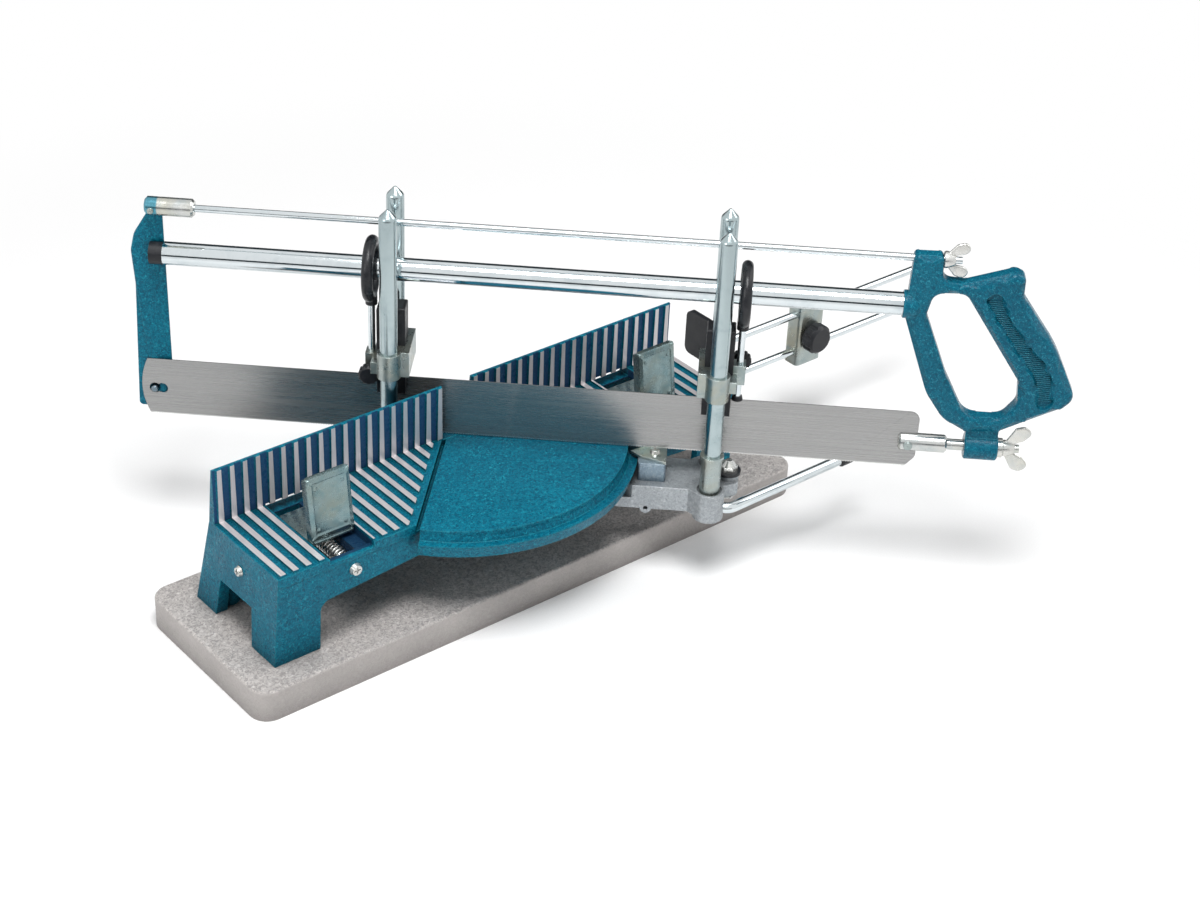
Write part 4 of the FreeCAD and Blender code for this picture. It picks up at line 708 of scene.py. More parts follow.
@dataclass(frozen=True)
class HammeredEnamel:
    """Hammered enamel: pools between veins, mottled light and dark, paler along the edges as wear
    and as a painted highlight.
    """

    name: str
    colour: Colour
    deep: Colour
    fleck_and_edge_highlight: Colour
    cell: float = 2.0
    depth: float = 0.20
    gloss: float = 0.30
    metal: float = 0.2
    edge: float = 0.9
    painted_nook_shade: float = 0.8
    smooth_shaded_sides: float = 0.0
    coat: float = 0.0
    shine: float = 0.13
    vein_scale: float = 1000.0
    vein_middle: float = 0.56
    vein_reach: float = 0.2
    fleck_reach: float = 0.18
    pool_scale: float = 760.0
    drift_scale: float = 210.0
    drift: float = 0.003
    nook_reach: float = 0.035

    def build(self) -> bpy.types.Material:
        """Make the finish of the plain enamel.

        Returns:
            Its material.
        """
        graph = paint_pot(self.name)
        colour, rough, normal = self.layers(graph)
        return graph.close({
            "Base Color": colour, "Roughness": rough, "Normal": normal, "Metallic": self.metal,
            "Specular IOR Level": self.shine, "Coat Weight": self.coat, "Coat Roughness": 0.1})

    def layers(self, graph: Graph) -> tuple[Socket, Socket, Socket]:
        """Colour, roughness and normal of the enamel.

        Args:
            graph: Material that the nodes go into.

        Returns:
            The three sockets.
        """
        soft = graph.soft_edges(self.edge * MM)
        veins = graph.noise(self.vein_scale / self.cell, 2.0, 0.55, 1.3)
        rough = graph.span(graph.noise(90.0, 3.0, 0.6), 0.3, 0.75, self.gloss - 0.05,
                           self.gloss + 0.14)
        normal = graph.relief(self._height(graph, veins), self.depth * MM, 0.75, soft)
        # Paler along the edges: partly wear, partly a painted highlight.
        colour = graph.tint(graph.rims(soft, 0.35), self._colour(graph, veins), self.fleck_and_edge_highlight)
        return colour, rough, normal

    def _height(self, graph: Graph, veins: Socket) -> Socket:
        """Height of the veins and of the pools between them.

        Args:
            graph: Material that the nodes go into.
            veins: Cloudy value of the veins.

        Returns:
            The height, from 0 to about 1.
        """
        where = graph.place()
        drift = graph.add("ShaderNodeTexNoise", {
            "Vector": where, "Scale": self.drift_scale, "Detail": 2.0}).outputs[1]
        pools = graph.add("ShaderNodeTexVoronoi", {
            "Vector": graph.turned(self.drift, where, drift),
            "Scale": self.pool_scale / self.cell, "Smoothness": 0.35}, feature="SMOOTH_F1")
        return graph.math("ADD", graph.product(graph.span(veins, 0.3, 0.7), 0.7),
                          graph.product(graph.span(pools.outputs[0], 0.2, 0.8), 0.5))

    def _colour(self, graph: Graph, veins: Socket) -> Socket:
        """Mottled colour; on upright sides, where asked, calmer and darker as painted shade;
        painted shade in the nooks.

        Args:
            graph: Material that the nodes go into.
            veins: Cloudy value of the veins.

        Returns:
            The colour.
        """
        middle = self.vein_middle
        broad = graph.span(graph.noise(16.0, 3.0, 0.55), 0.25, 0.8, 0.62, 1.0)
        base = graph.tint(broad, self.deep, self.colour)
        dark = graph.tint(graph.span(veins, middle, middle - self.vein_reach, 0.0, 0.75), base,
                          self.deep)
        light = graph.tint(graph.span(veins, middle, middle + self.fleck_reach, 0.0, 0.62), dark,
                           self.fleck_and_edge_highlight)
        # Upright sides: calmer veins for the smoother real paint, and a 22 % darker tint that is
        # painted shade.
        upright = graph.span(graph.facing()[2], 0.8, 0.3, 0.0, self.smooth_shaded_sides)
        calm_shaded = graph.tint(upright, light, graph.tint(0.22, base, self.deep))
        # Painted shade: nooks found by ambient occlusion are darkened towards near black.
        nook = graph.add("ShaderNodeAmbientOcclusion", {"Distance": self.nook_reach}, samples=6)
        painted_nook_shade = tuple(value * 0.22 for value in self.deep)
        return graph.tint(graph.span(nook.outputs["AO"], 0.85, 0.15, 0.0, self.painted_nook_shade), calm_shaded,
                          painted_nook_shade)


@dataclass(frozen=True)
class MachinedCasting(HammeredEnamel):
    """Enamel on the casting, with the faces of the ribs ground bright, and painted shade in the
    fence's grooves and in the jaws' slots.
    """

    bright: Colour = (0.78, 0.74, 0.75)
    stain: Colour = (0.46, 0.44, 0.45)
    # Colour of the painted shade in the grooves, and darker still in the slots.
    painted_recess_shade: Colour = (0.022, 0.062, 0.165)
    land: float = 98.5
    slot_middle: float = 142.5
    slot_half: float = 19.5
    slot_front: float = -73.5
    slot_back: float = 0.4
    slot_drop: float = 2.4
    face_margin: float = 0.3
    hollow_from: float = 0.8

    def build(self) -> bpy.types.Material:
        """Make the finish of the casting.

        Returns:
            Its material.
        """
        graph = paint_pot(self.name)
        colour, rough, normal = self.layers(graph)
        x, depth, level = graph.add("ShaderNodeSeparateXYZ", {0: graph.place()}).outputs
        _, front, up = graph.facing()
        front = graph.math("LESS_THAN", front, -0.8)
        above = graph.math("GREATER_THAN", level, (self.land - 1.0) * MM)
        lands = graph.product(graph.close_to(level, self.land * MM, self.face_margin * MM),
                              graph.math("GREATER_THAN", up, 0.8))
        faces = graph.product(graph.close_to(depth, 0.0, self.face_margin * MM), front, above)
        ground = graph.math("MAXIMUM", lands, faces)
        # Painted shade: front faces set back behind the fence's face are tinted dark indigo.
        painted_recess_shade = graph.product(front, above,
                               graph.math("GREATER_THAN", depth, self.hollow_from * MM), 0.8)
        colour = graph.tint(painted_recess_shade, colour, self.painted_recess_shade)
        # Painted shade on the walls of the jaws' slots.
        painted_slot_shade = graph.product(self._slot(graph, x, depth, level), 0.85)
        colour = graph.tint(painted_slot_shade, colour, tuple(value * 0.45 for value in self.painted_recess_shade))
        lines = graph.noise(1.0, 3.0, 0.6, 0.0, graph.stretched((2600.0, 60.0, 60.0)))
        flat = graph.relief(lines, 0.00004, 0.5, graph.soft_edges(self.face_margin * MM))
        return graph.close({
            "Base Color": graph.tint(ground, colour, self._steel(graph, lines)),
            "Roughness": graph.add("ShaderNodeMix", {0: ground, 2: rough, 3: 0.34}).outputs[0],
            "Normal": graph.turned(ground, normal, flat),
            "Metallic": graph.span(ground, 0.0, 1.0, self.metal, 0.55),
            "Specular IOR Level": self.shine})

    def _steel(self, graph: Graph, lines: Socket) -> Socket:
        """Colour of the ground faces.

        Args:
            graph: Material that the nodes go into.
            lines: Fine lines of the grinding.

        Returns:
            The colour.
        """
        dull = tuple(value * 0.82 for value in self.bright)
        steel = graph.tint(graph.span(lines, 0.3, 0.7), dull, self.bright)
        stain = graph.span(graph.noise(60.0, 4.0, 0.6), 0.45, 0.8)
        return graph.tint(graph.product(stain, 0.25), steel, self.stain)

    def _slot(self, graph: Graph, x: Socket, depth: Socket, level: Socket) -> Socket:
        """Walls of the jaws' slots, where shade is painted.

        Args:
            graph: Material that the nodes go into.
            x: Place along the fence.
            depth: Place behind the fence's face.
            level: Height.

        Returns:
            1 on the walls, else 0.
        """
        beside = graph.close_to(graph.math("ABSOLUTE", x), self.slot_middle * MM,
                                self.slot_half * MM)
        below = graph.math("LESS_THAN", level, (self.land - self.slot_drop) * MM)
        behind = graph.math("GREATER_THAN", depth, self.slot_front * MM)
        before = graph.math("LESS_THAN", depth, self.slot_back * MM)
        return graph.product(beside, below, behind, before)


@dataclass(frozen=True)
class BrightPlate:
    """Plated bar with faint drawn lines, haze, a little soot in the plating and a painted
    highlight on the edges.
    """

    name: str
    colour: Colour
    shade: Colour
    rough: float
    haze: float = 0.10
    edge: float = 0.5
    # Near white colour of the painted highlight along the edges.
    rim: Colour = (0.86, 0.87, 0.87)

    def build(self) -> bpy.types.Material:
        """Make the finish of the plated bar.

        Returns:
            Its material.
        """
        graph = paint_pot(self.name)
        cloud = graph.noise(55.0, 4.0, 0.6, 0.4)
        scuff = graph.noise(900.0, 4.0, 0.7, 0.2)
        pits = graph.span(graph.noise(240.0, 3.0, 0.7), 0.62, 0.78)
        soft = graph.soft_edges(self.edge * MM)
        colour = graph.tint(graph.span(cloud, 0.42, 0.78, 0.0, 0.7), self.colour, self.shade)
        colour = graph.tint(graph.product(pits, 0.35), colour, self.shade)
        # Painted highlight along the edges.
        colour = graph.tint(graph.rims(soft, 0.5), colour, self.rim)
        haze = graph.span(cloud, 0.35, 0.8, self.rough, self.rough + self.haze)
        rough = graph.math("ADD", haze, graph.span(scuff, 0.55, 0.75, 0.0, 0.05))
        return graph.close({"Base Color": colour, "Roughness": rough, "Metallic": 1.0,
                            "Normal": graph.relief(scuff, 0.01 * MM, 0.35, soft)})


@dataclass(frozen=True)
class ZincPlate:
    """Satin zinc with the faint yellow and green of its plating, lighter at the edges, partly
    rubbed and partly a painted highlight.
    """

    name: str
    colour: Colour
    warm: Colour
    cool: Colour
    rough: float = 0.30
    edge: float = 0.6
    end_tint: Colour | None = None
    tinted_to: float = -206.4
    tint_fade: float = 0.6

    def build(self) -> bpy.types.Material:
        """Make the finish of the plated sheet or casting.

        Returns:
            Its material.
        """
        graph = paint_pot(self.name)
        bloom = graph.noise(38.0, 4.0, 0.55, 0.6)
        flow = graph.noise(80.0, 3.0, 0.6, 0.4)
        soft = graph.soft_edges(self.edge * MM)
        colour = graph.tint(graph.span(bloom, 0.4, 0.7), self.colour, self.warm)
        colour = graph.tint(graph.product(graph.span(flow, 0.42, 0.75), 0.7), colour, self.cool)
        # Lighter edges: partly rubbed zinc, partly a painted highlight.
        bright = tuple(min(1.0, value * 1.5) for value in self.colour)
        colour = graph.tint(graph.rims(soft, 0.6), colour, bright)
        # The end towards the front plate is tinted blue.
        if self.end_tint is not None:
            station = graph.measure("DOT_PRODUCT", graph.place(), tuple(SAW.along))
            tinted = graph.span(station, (self.tinted_to + self.tint_fade) * MM,
                                 (self.tinted_to - self.tint_fade) * MM, 0.0, 0.88)
            colour = graph.tint(tinted, colour, self.end_tint)
        rough = graph.span(graph.noise(120.0, 4.0, 0.65), 0.3, 0.75, self.rough - 0.06,
                           self.rough + 0.12)
        normal = graph.relief(graph.noise(420.0, 2.0, 0.5), 0.015 * MM, 0.3, soft)
        return graph.close({"Base Color": colour, "Roughness": rough, "Metallic": 0.9,
                            "Normal": normal})


@dataclass(frozen=True)
class GroundBlade:
    """Blade steel with a fine grain along the blade and bright teeth."""

    name: str
    colour: Colour = (0.36, 0.36, 0.355)
    dark: Colour = (0.30, 0.30, 0.30)
    bright: Colour = (0.66, 0.66, 0.65)
    tooth_level: float = 98.4
    tooth_fade: float = 0.9

    def build(self) -> bpy.types.Material:
        """Make the finish of the blade.

        Returns:
            Its material.
        """
        graph = paint_pot(self.name)
        turn = math.radians(90.0 - SAW.angle)
        grain = graph.noise(1.0, 5.0, 0.7, 0.0, graph.stretched((12.0, 900.0, 2400.0), turn))
        streak = graph.noise(1.0, 3.0, 0.6, 0.0, graph.stretched((3.0, 60.0, 160.0), turn))
        cloud = graph.span(graph.noise(16.0, 3.0, 0.5), 0.45, 0.75)
        base = graph.tint(graph.span(grain, 0.35, 0.65), self.dark, self.colour)
        base = graph.tint(graph.product(cloud, 0.35), base, self.dark)
        level = graph.add("ShaderNodeSeparateXYZ", {0: graph.place()}).outputs[2]
        teeth = graph.span(level, self.tooth_level * MM, (self.tooth_level - self.tooth_fade) * MM)
        rough = graph.math("ADD", graph.span(grain, 0.3, 0.7, 0.2, 0.3),
                           graph.span(streak, 0.4, 0.7, 0.0, 0.06))
        return graph.close({
            "Base Color": graph.tint(teeth, base, self.bright), "Roughness": rough,
            "Metallic": 0.86, "Normal": graph.relief(grain, 0.00002, 0.5), "Anisotropic": 0.5})


@dataclass(frozen=True)
class MouldedBlack:
    """Black moulded plastic with a fine eggshell grain and rubbed edges."""

    name: str
    colour: Colour = (0.010, 0.011, 0.014)
    worn: Colour = (0.045, 0.047, 0.052)
    rough: float = 0.4
    edge: float = 0.6

    def build(self) -> bpy.types.Material:
        """Make the finish of the plastic.

        Returns:
            Its material.
        """
        graph = paint_pot(self.name)
        dust = graph.noise(120.0, 4.0, 0.7)
        soft = graph.soft_edges(self.edge * MM)
        colour = graph.tint(graph.product(graph.span(dust, 0.5, 0.8), 0.6), self.colour,
                            self.worn)
        colour = graph.tint(graph.rims(soft, 0.6), colour, self.worn)
        rough = graph.span(dust, 0.3, 0.7, self.rough - 0.08, self.rough + 0.14)
        normal = graph.relief(graph.noise(1600.0, 3.0, 0.6), 0.05 * MM, 0.5, soft)
        return graph.close({"Base Color": colour, "Roughness": rough, "Normal": normal,
                            "Specular IOR Level": 0.35})


class Finishes:
    """Every finish of the saw, made once and handed out by name."""

    def __init__(self) -> None:
        """Make the materials."""
        teal: Colour = (0.002, 0.175, 0.265)
        deep: Colour = (0.001, 0.055, 0.105)
        pale: Colour = (0.030, 0.400, 0.500)
        self.casting = MachinedCasting("casting_enamel", teal, deep, pale, metal=0.0, edge=1.3,
                                       cell=1.7).build()
        self.plate = HammeredEnamel("front_plate_enamel", teal, deep, pale, cell=1.6, metal=0.0,
                                    shine=0.14).build()
        self.handle = HammeredEnamel("handle_enamel", (0.002, 0.140, 0.215), deep,
                                     (0.05, 0.36, 0.46), cell=1.5, gloss=0.17, metal=0.0,
                                     coat=0.07).build()
        self.grip = HammeredEnamel("grip_enamel", (0.002, 0.130, 0.195), deep,
                                   (0.05, 0.34, 0.43), cell=1.2, depth=0.06, metal=0.0,
                                   painted_nook_shade=0.45, shine=0.2).build()
        self.board = HammeredEnamel("board_enamel", (0.57, 0.535, 0.515), (0.26, 0.245, 0.24),
                                    (0.76, 0.73, 0.71), cell=2.3, depth=0.34, gloss=0.42,
                                    metal=0.0, edge=1.6, painted_nook_shade=0.85, smooth_shaded_sides=0.8).build()
        self.arm = HammeredEnamel("arm_enamel", (0.42, 0.45, 0.47), (0.26, 0.28, 0.30),
                                  (0.62, 0.64, 0.65), cell=1.8, depth=0.12, metal=0.4, edge=1.0,
                                  painted_nook_shade=0.7).build()
        self.bracket = HammeredEnamel("bracket_enamel", (0.26, 0.34, 0.40), (0.16, 0.22, 0.28),
                                      (0.55, 0.62, 0.66), cell=1.6, depth=0.08, gloss=0.26,
                                      metal=0.5).build()
        self.chrome = BrightPlate("chromed_bar", (0.68, 0.73, 0.75), (0.50, 0.57, 0.60), 0.07,
                                  0.06).build()
        self.post = BrightPlate("ground_post", (0.42, 0.50, 0.515), (0.30, 0.38, 0.40), 0.18,
                                0.12).build()
        self.dark_pin = BrightPlate("blued_pin", (0.18, 0.24, 0.28), (0.10, 0.14, 0.18),
                                    0.22).build()
        self.spring = BrightPlate("spring_wire", (0.82, 0.82, 0.80), (0.52, 0.53, 0.52),
                                  0.22).build()
        self.zinc = ZincPlate("zinc_plate", (0.37, 0.42, 0.41), (0.38, 0.38, 0.31),
                              (0.24, 0.31, 0.32)).build()
        self.jaw = ZincPlate("jaw_zinc", (0.215, 0.30, 0.31), (0.22, 0.27, 0.25),
                             (0.13, 0.235, 0.26), 0.26).build()
        self.screw = ZincPlate("screw_zinc", (0.66, 0.66, 0.64), (0.62, 0.61, 0.55),
                               (0.48, 0.51, 0.51), 0.24, 0.3).build()
        self.clevis = ZincPlate("clevis_zinc", (0.58, 0.59, 0.58), (0.54, 0.54, 0.48),
                                (0.40, 0.45, 0.46), 0.2, 0.4, (0.03, 0.26, 0.36)).build()
        self.blade = GroundBlade("blade_steel_ground").build()
        self.black = MouldedBlack("moulded_black").build()
        self.gloss_black = MouldedBlack("dipped_black", rough=0.3).build()


# ---------------------------------------------------------------- pieces


@dataclass
class SubAssembly:
    """A group of pieces that share finishes."""

    finishes: Finishes
    frame: dict[str, Any]

    def dress(self, material: bpy.types.Material, *nodes: str) -> None:
        """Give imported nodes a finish.

        Args:
            material: The finish.
            nodes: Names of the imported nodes.
        """
        for name in nodes:
            coat(self.frame["nodes"][name], material)

    def swap(self, item: bpy.types.Object, material: bpy.types.Material, slot: Slot,
             *nodes: str) -> None:
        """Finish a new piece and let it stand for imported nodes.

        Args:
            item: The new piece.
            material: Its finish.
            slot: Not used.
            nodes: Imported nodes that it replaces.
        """
        coat(item, material)
        if nodes:
            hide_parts(*nodes)

    def settle(self, item: bpy.types.Object, material: bpy.types.Material, body: str,
               slot: Slot, *nodes: str) -> None:
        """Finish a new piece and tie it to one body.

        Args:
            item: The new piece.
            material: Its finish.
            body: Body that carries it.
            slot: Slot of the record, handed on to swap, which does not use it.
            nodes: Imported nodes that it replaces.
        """
        self.swap(item, material, slot, *nodes)
        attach(item, body)


def coat(item: bpy.types.Object, material: bpy.types.Material) -> None:
    """Give an object one material and report it.

    Args:
        item: The object.
        material: Its only material.
    """
    item.data.materials.clear()
    item.data.materials.append(material)
    LOG.info("%s has its %s", item.name, material.name)


@dataclass
class Table(SubAssembly):
    """Board, ribbed casting, screws, springs and length stop."""

    fence_back: float = 9.0
    fence_foot: float = 98.5
    fence_top: float = 139.5
    fence_draft: float = 5.4
    face_margin: float = 0.1
    least_rise: float = 0.02
    rib_pitch: float = 10.0
    rib_first: float = 15.5
    rib_draft: float = 0.245
    spring_seat: float = -69.35

    def build(self) -> None:
        """Dress the fixed pieces."""
        self.dress(self.finishes.board, "board")
        self._casting()
        self.dress(self.finishes.screw, "leg_bolts", "swing_axle", "clamp_guide_screws",
                   "end_screw")
        for side in ("left", "right"):
            self._spring(side)
        self.dress(self.finishes.chrome, "stop_lower_rod", "stop_upper_rod")
        self.dress(self.finishes.zinc, "stop_block")
        self.dress(self.finishes.black, "stop_plate", "stop_knob")

    def _casting(self) -> None:
        """Casting whose fence and ribs narrow upwards, as they leave the mould."""
        mesh = self.frame["nodes"]["table_casting"].data.copy()
        for vert in mesh.vertices:
            x, y, z = (value / MM for value in vert.co)
            rise = (z - self.fence_foot) / (self.fence_top - self.fence_foot)
            if rise <= self.least_rise or y < -self.face_margin:
                continue
            if y > self.fence_back - self.face_margin:
                vert.co.y = (y - self.fence_draft * rise) * MM
            elif y < self.face_margin:
                count = round((abs(x) - self.rib_first) / self.rib_pitch)
                rib = self.rib_first + count * self.rib_pitch
                narrowed = rib + (abs(x) - rib) * (1.0 - self.rib_draft * rise)
                vert.co.x = math.copysign(narrowed, x) * MM
        piece = keep("table_casting_drafted", mesh, Matrix.Identity(4))
        self.settle(piece, self.finishes.casting, "base", Slot.CASTING, "table_casting")

    def _spring(self, side: str) -> None:
        """Spring of one jaw, copied in place of the imported one.

        Args:
            side: Which jaw it draws.
        """
        node = f"{side}_spring"
        mesh = self.frame["nodes"][node].data.copy()
        piece = keep(f"{node}_wound", mesh, Matrix.Identity(4))
        self.swap(piece, self.finishes.spring, Slot.SPRING, node)
        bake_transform(piece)


@dataclass
class Jaw(SubAssembly):
    """Folded sheet jaw with a pressed face, four pips, a sliding foot and a tab."""

    side: str = "left"
    centre: float = -142.5
    half: float = 16.8
    face: float = -54.3
    crest: float = -48.6
    base: float = 97.5
    top: float = 143.0
    thick: float = 2.0
    flange: float = 6.5
    flange_drop: float = 2.0
    fold: float = 4.2
    foot_reach: float = 41.3
    foot_top: float = 96.0
    tab_centre: float = -140.0
    tab_half: float = 5.0
    tab_back: float = 24.0
    tab_foot: float = 75.5
    hole_level: float = 80.5
    hole_radius: float = 2.55
    rim: float = 3.2
    press: float = 0.55
    press_wall: float = 1.2
    pip_inset: float = 6.2
    pip_margins: Pair = (7.0, 8.0)
    pip: tuple[Pair, ...] = ((-0.4, 1.5), (0.05, 1.45), (0.4, 1.0), (0.5, 0.0))

    @property
    def slope(self) -> Pair:
        """How far the face leans back and rises."""
        return self.crest - self.face, self.top - self.base

    def build(self) -> None:
        """Build the jaw and tie it to its clamp."""
        leaning = (self._at(self.centre, self.face, self.base)
                   @ Matrix.Rotation(-math.atan2(*self.slope), 4, "X")
                   @ Matrix.Rotation(math.pi / 2, 4, "X"))
        parts = [*self._face(leaning), *self._flanges(), self._crown(), *self._foot()]
        piece = joined(f"{self.side}_jaw_sheet", parts)
        self.settle(piece, self.finishes.jaw, f"{self.side}_clamp", Slot.ZINC,
                    f"{self.side}_jaw")

    @staticmethod
    def _at(x: float, y: float, z: float) -> Matrix:
        """Move to a place in millimetres."""
        return Matrix.Translation(Vector((x, y, z)) * MM)

    def _face(self, leaning: Matrix) -> list[bpy.types.Object]:
        """Leaning face, pressed in between raised rims, with a pip near each corner.

        Args:
            leaning: Frame of the face.

        Returns:
            The face and its pips.
        """
        tall, half, rim = math.hypot(*self.slope), self.half, self.rim
        pressed = board_shape(half - rim, rim, tall - rim, (1.6, 1.6))
        parts = [plate("jaw_face", [board_shape(half, 0, tall, (1.2, 2.0))], self.thick, 0.9,
                       leaning @ self._at(0, 0, -0.2),
                       sunk=Sunk(tuple(pressed), self.press, self.press_wall))]
        for x in (self.pip_inset - half, half - self.pip_inset):
            for y in (self.pip_margins[0], tall - self.pip_margins[1]):
                parts.append(lathe("jaw_pip", self.pip, leaning @ self._at(x, y, 0.2), 20))
        return parts

    def _flanges(self) -> list[bpy.types.Object]:
        """Flanges folded back at both sides.

        Returns:
            The left flange and the right one.
        """
        shift, rise = self.slope
        foot = self.base - self.flange_drop
        front = self.face - shift / rise * self.flange_drop
        outline = eased([(front, foot, 0.6), (front + self.flange, foot, 2.4),
                         (self.crest + self.flange, self.top - 2.5, 2.6),
                         (self.crest + 2.2, self.top, 1.6), (self.crest, self.top, 0.6)])
        sides = []
        for sign in (-1, 1):
            x = self.centre + sign * (self.half - self.thick / 2)
            upright = Matrix(((0, 0, 1, x * MM), (1, 0, 0, 0), (0, 1, 0, 0), (0, 0, 0, 1)))
            sides.append(plate("jaw_flange", [outline], self.thick, 0.6, upright))
        return sides

    def _crown(self) -> bpy.types.Object:
        """Flange folded back along the top.

        Returns:
            The flange.
        """
        outline = board_shape(self.half, 0, self.fold, (0.5, 1.6), 1.2)
        place = self._at(self.centre, self.crest, self.top - self.thick / 2)
        return plate("jaw_crown", [outline], self.thick, 0.7, place)

    def _foot(self) -> list[bpy.types.Object]:
        """Sliding foot and the tab on the guide screw.

        Returns:
            The foot and the tab.
        """
        foot = plate("jaw_foot", [board_shape(self.half, 0, self.foot_reach, (0.6, 2.0))],
                     self.thick, 0.5,
                     self._at(self.centre, self.face, self.foot_top - self.thick / 2))
        outline = board_shape(self.tab_half, 0, self.foot_top - self.tab_foot, (1.6, 0.4))
        hole = ring(0, self.hole_level - self.tab_foot, self.hole_radius)
        back = self.face + self.tab_back + self.thick / 2
        upright = (self._at(self.tab_centre, back, self.tab_foot)
                   @ Matrix.Rotation(math.pi / 2, 4, "X"))
        return [foot, plate("jaw_tab", [outline, hole], self.thick, 0.4, upright)]


@dataclass
class SwingArm(SubAssembly):
    """Arm with posts, collars, pointer, end bolt and lock lever."""

    stations: Pair = (-46.5, 182.5)
    offset: float = 18.0
    radius: float = 6.25
    crest: float = 281.0
    shoulder: tuple[Pair, ...] = ((7.6, 0.0), (6.6, 0.12), (5.7, 0.5), (4.9, 1.1), (1.6, 4.15),
                                  (0.7, 4.95), (0.15, 5.65), (0.0, 6.25))

    def build(self) -> None:
        """Dress the arm and build the posts."""
        self.dress(self.finishes.arm, "swing_arm")
        self.dress(self.finishes.bracket, "pointer_bracket")
        posts = [self._post(station, offset) for station in self.stations
                 for offset in (-self.offset, self.offset)]
        self.settle(joined("guide_posts_turned", posts), self.finishes.post, "arm",
                    Slot.CHROME, "guide_posts")
        self.dress(self.finishes.chrome, "lock_lever")
        self.dress(self.finishes.zinc, "post_collars", "pointer_plate")
        self.dress(self.finishes.screw, "end_bolt", "pointer_screw")
        self.dress(self.finishes.black, "end_washer", "lever_tip")

    def _post(self, station: float, offset: float) -> bpy.types.Object:
        """One post with a rounded shoulder and a blunt point.

        Args:
            station: Its place along the saw.
            offset: Its place across the saw.

        Returns:
            The post.
        """
        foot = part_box("guide_posts")[0].z / MM
        profile = [(foot, 0.0), (foot, self.radius)]
        profile += [(self.crest - down, self.radius - less) for down, less in self.shoulder]
        return lathe("post", profile, Matrix.Translation(SAW.point(station, offset, 0.0)), 48)


@dataclass
class Carriages(SubAssembly):
    """Sliding carriages with guide blocks, rings, rods and knobs."""

    def build(self) -> None:
        """Dress both carriages."""
        for side in ("rear", "front"):
            self.dress(self.finishes.zinc, f"{side}_carriage")
            self.dress(self.finishes.black, f"{side}_guide_block", f"{side}_knob")
            self.dress(self.finishes.chrome, f"{side}_ring_rod")
            self.dress(self.finishes.gloss_black, f"{side}_ring")
        self.dress(self.finishes.black, "front_ring_foot")


@dataclass
class SawBars(SubAssembly):
    """Tube, front plate, tie rod, clevises and the heads of their pins."""

    thick: float = 5.0
    rim: float = 1.8
    middle: float = -3.0
    clevis_radius: float = 6.5
    pin_hole: Corner = (-217.5, 118.0, 2.55)
    top_pin: Corner = (-210.5, 262.0, 2.3)
    lower_pin: Corner = (319.5, 117.3, 3.2)
    outline: tuple[Corner, ...] = (
        (-230.4, 101.8, 3.0), (-226.7, 200.8, 22.0), (-228.4, 227.0, 16.0),
        (-225.4, 239.9, 16.0), (-213.7, 259.1, 4.0), (-204.8, 259.1, 0.6), (-204.8, 101.8, 2.5))

    def build(self) -> None:
        """Dress the bars and build the front plate."""
        self.dress(self.finishes.chrome, "frame_tube", "tie_rod")
        self.dress(self.finishes.dark_pin, "blade_hook")
        self.dress(self.finishes.black, "tube_plug")
        self.dress(self.finishes.clevis, "top_clevis", "lower_clevis")
        self.dress(self.finishes.screw, "blade_pin", "tension_washer")
        self._pin_head("top_pin_head", *self.top_pin)
        self._pin_head("lower_pin_head", *self.lower_pin)
        piece = plate("front_plate_forged", [eased(self.outline, 10), ring(*self.pin_hole)],
                      self.thick, self.rim, SAW.side(0, self.middle, 0), 4)
        self.settle(piece, self.finishes.plate, "saw", Slot.FRONT_PLATE, "saw_plate")

    def _pin_head(self, name: str, station: float, level: float, radius: float) -> None:
        """Flat screw head with a cross recess, on the viewer's side of a clevis.

        Args:
            name: Name of the piece.
            station: Its place along the saw.
            level: Its height.
            radius: Radius of the head.
        """
        arm, reach = radius * 0.14, radius * 0.58
        quarter = [(arm, arm), (arm, reach), (-arm, reach)]
        cross: list[Pair] = []
        for _ in range(4):
            cross += quarter
            quarter = [(-y, x) for x, y in quarter]
        piece = plate(name, [ring(0, 0, radius, 28)], 2.0, 0.6,
                      SAW.side(station, self.clevis_radius + 0.1, level),
                      sunk=Sunk(tuple(dict.fromkeys(cross)), 0.6, radius * 0.12))
        self.settle(piece, self.finishes.zinc, "saw", Slot.ZINC)


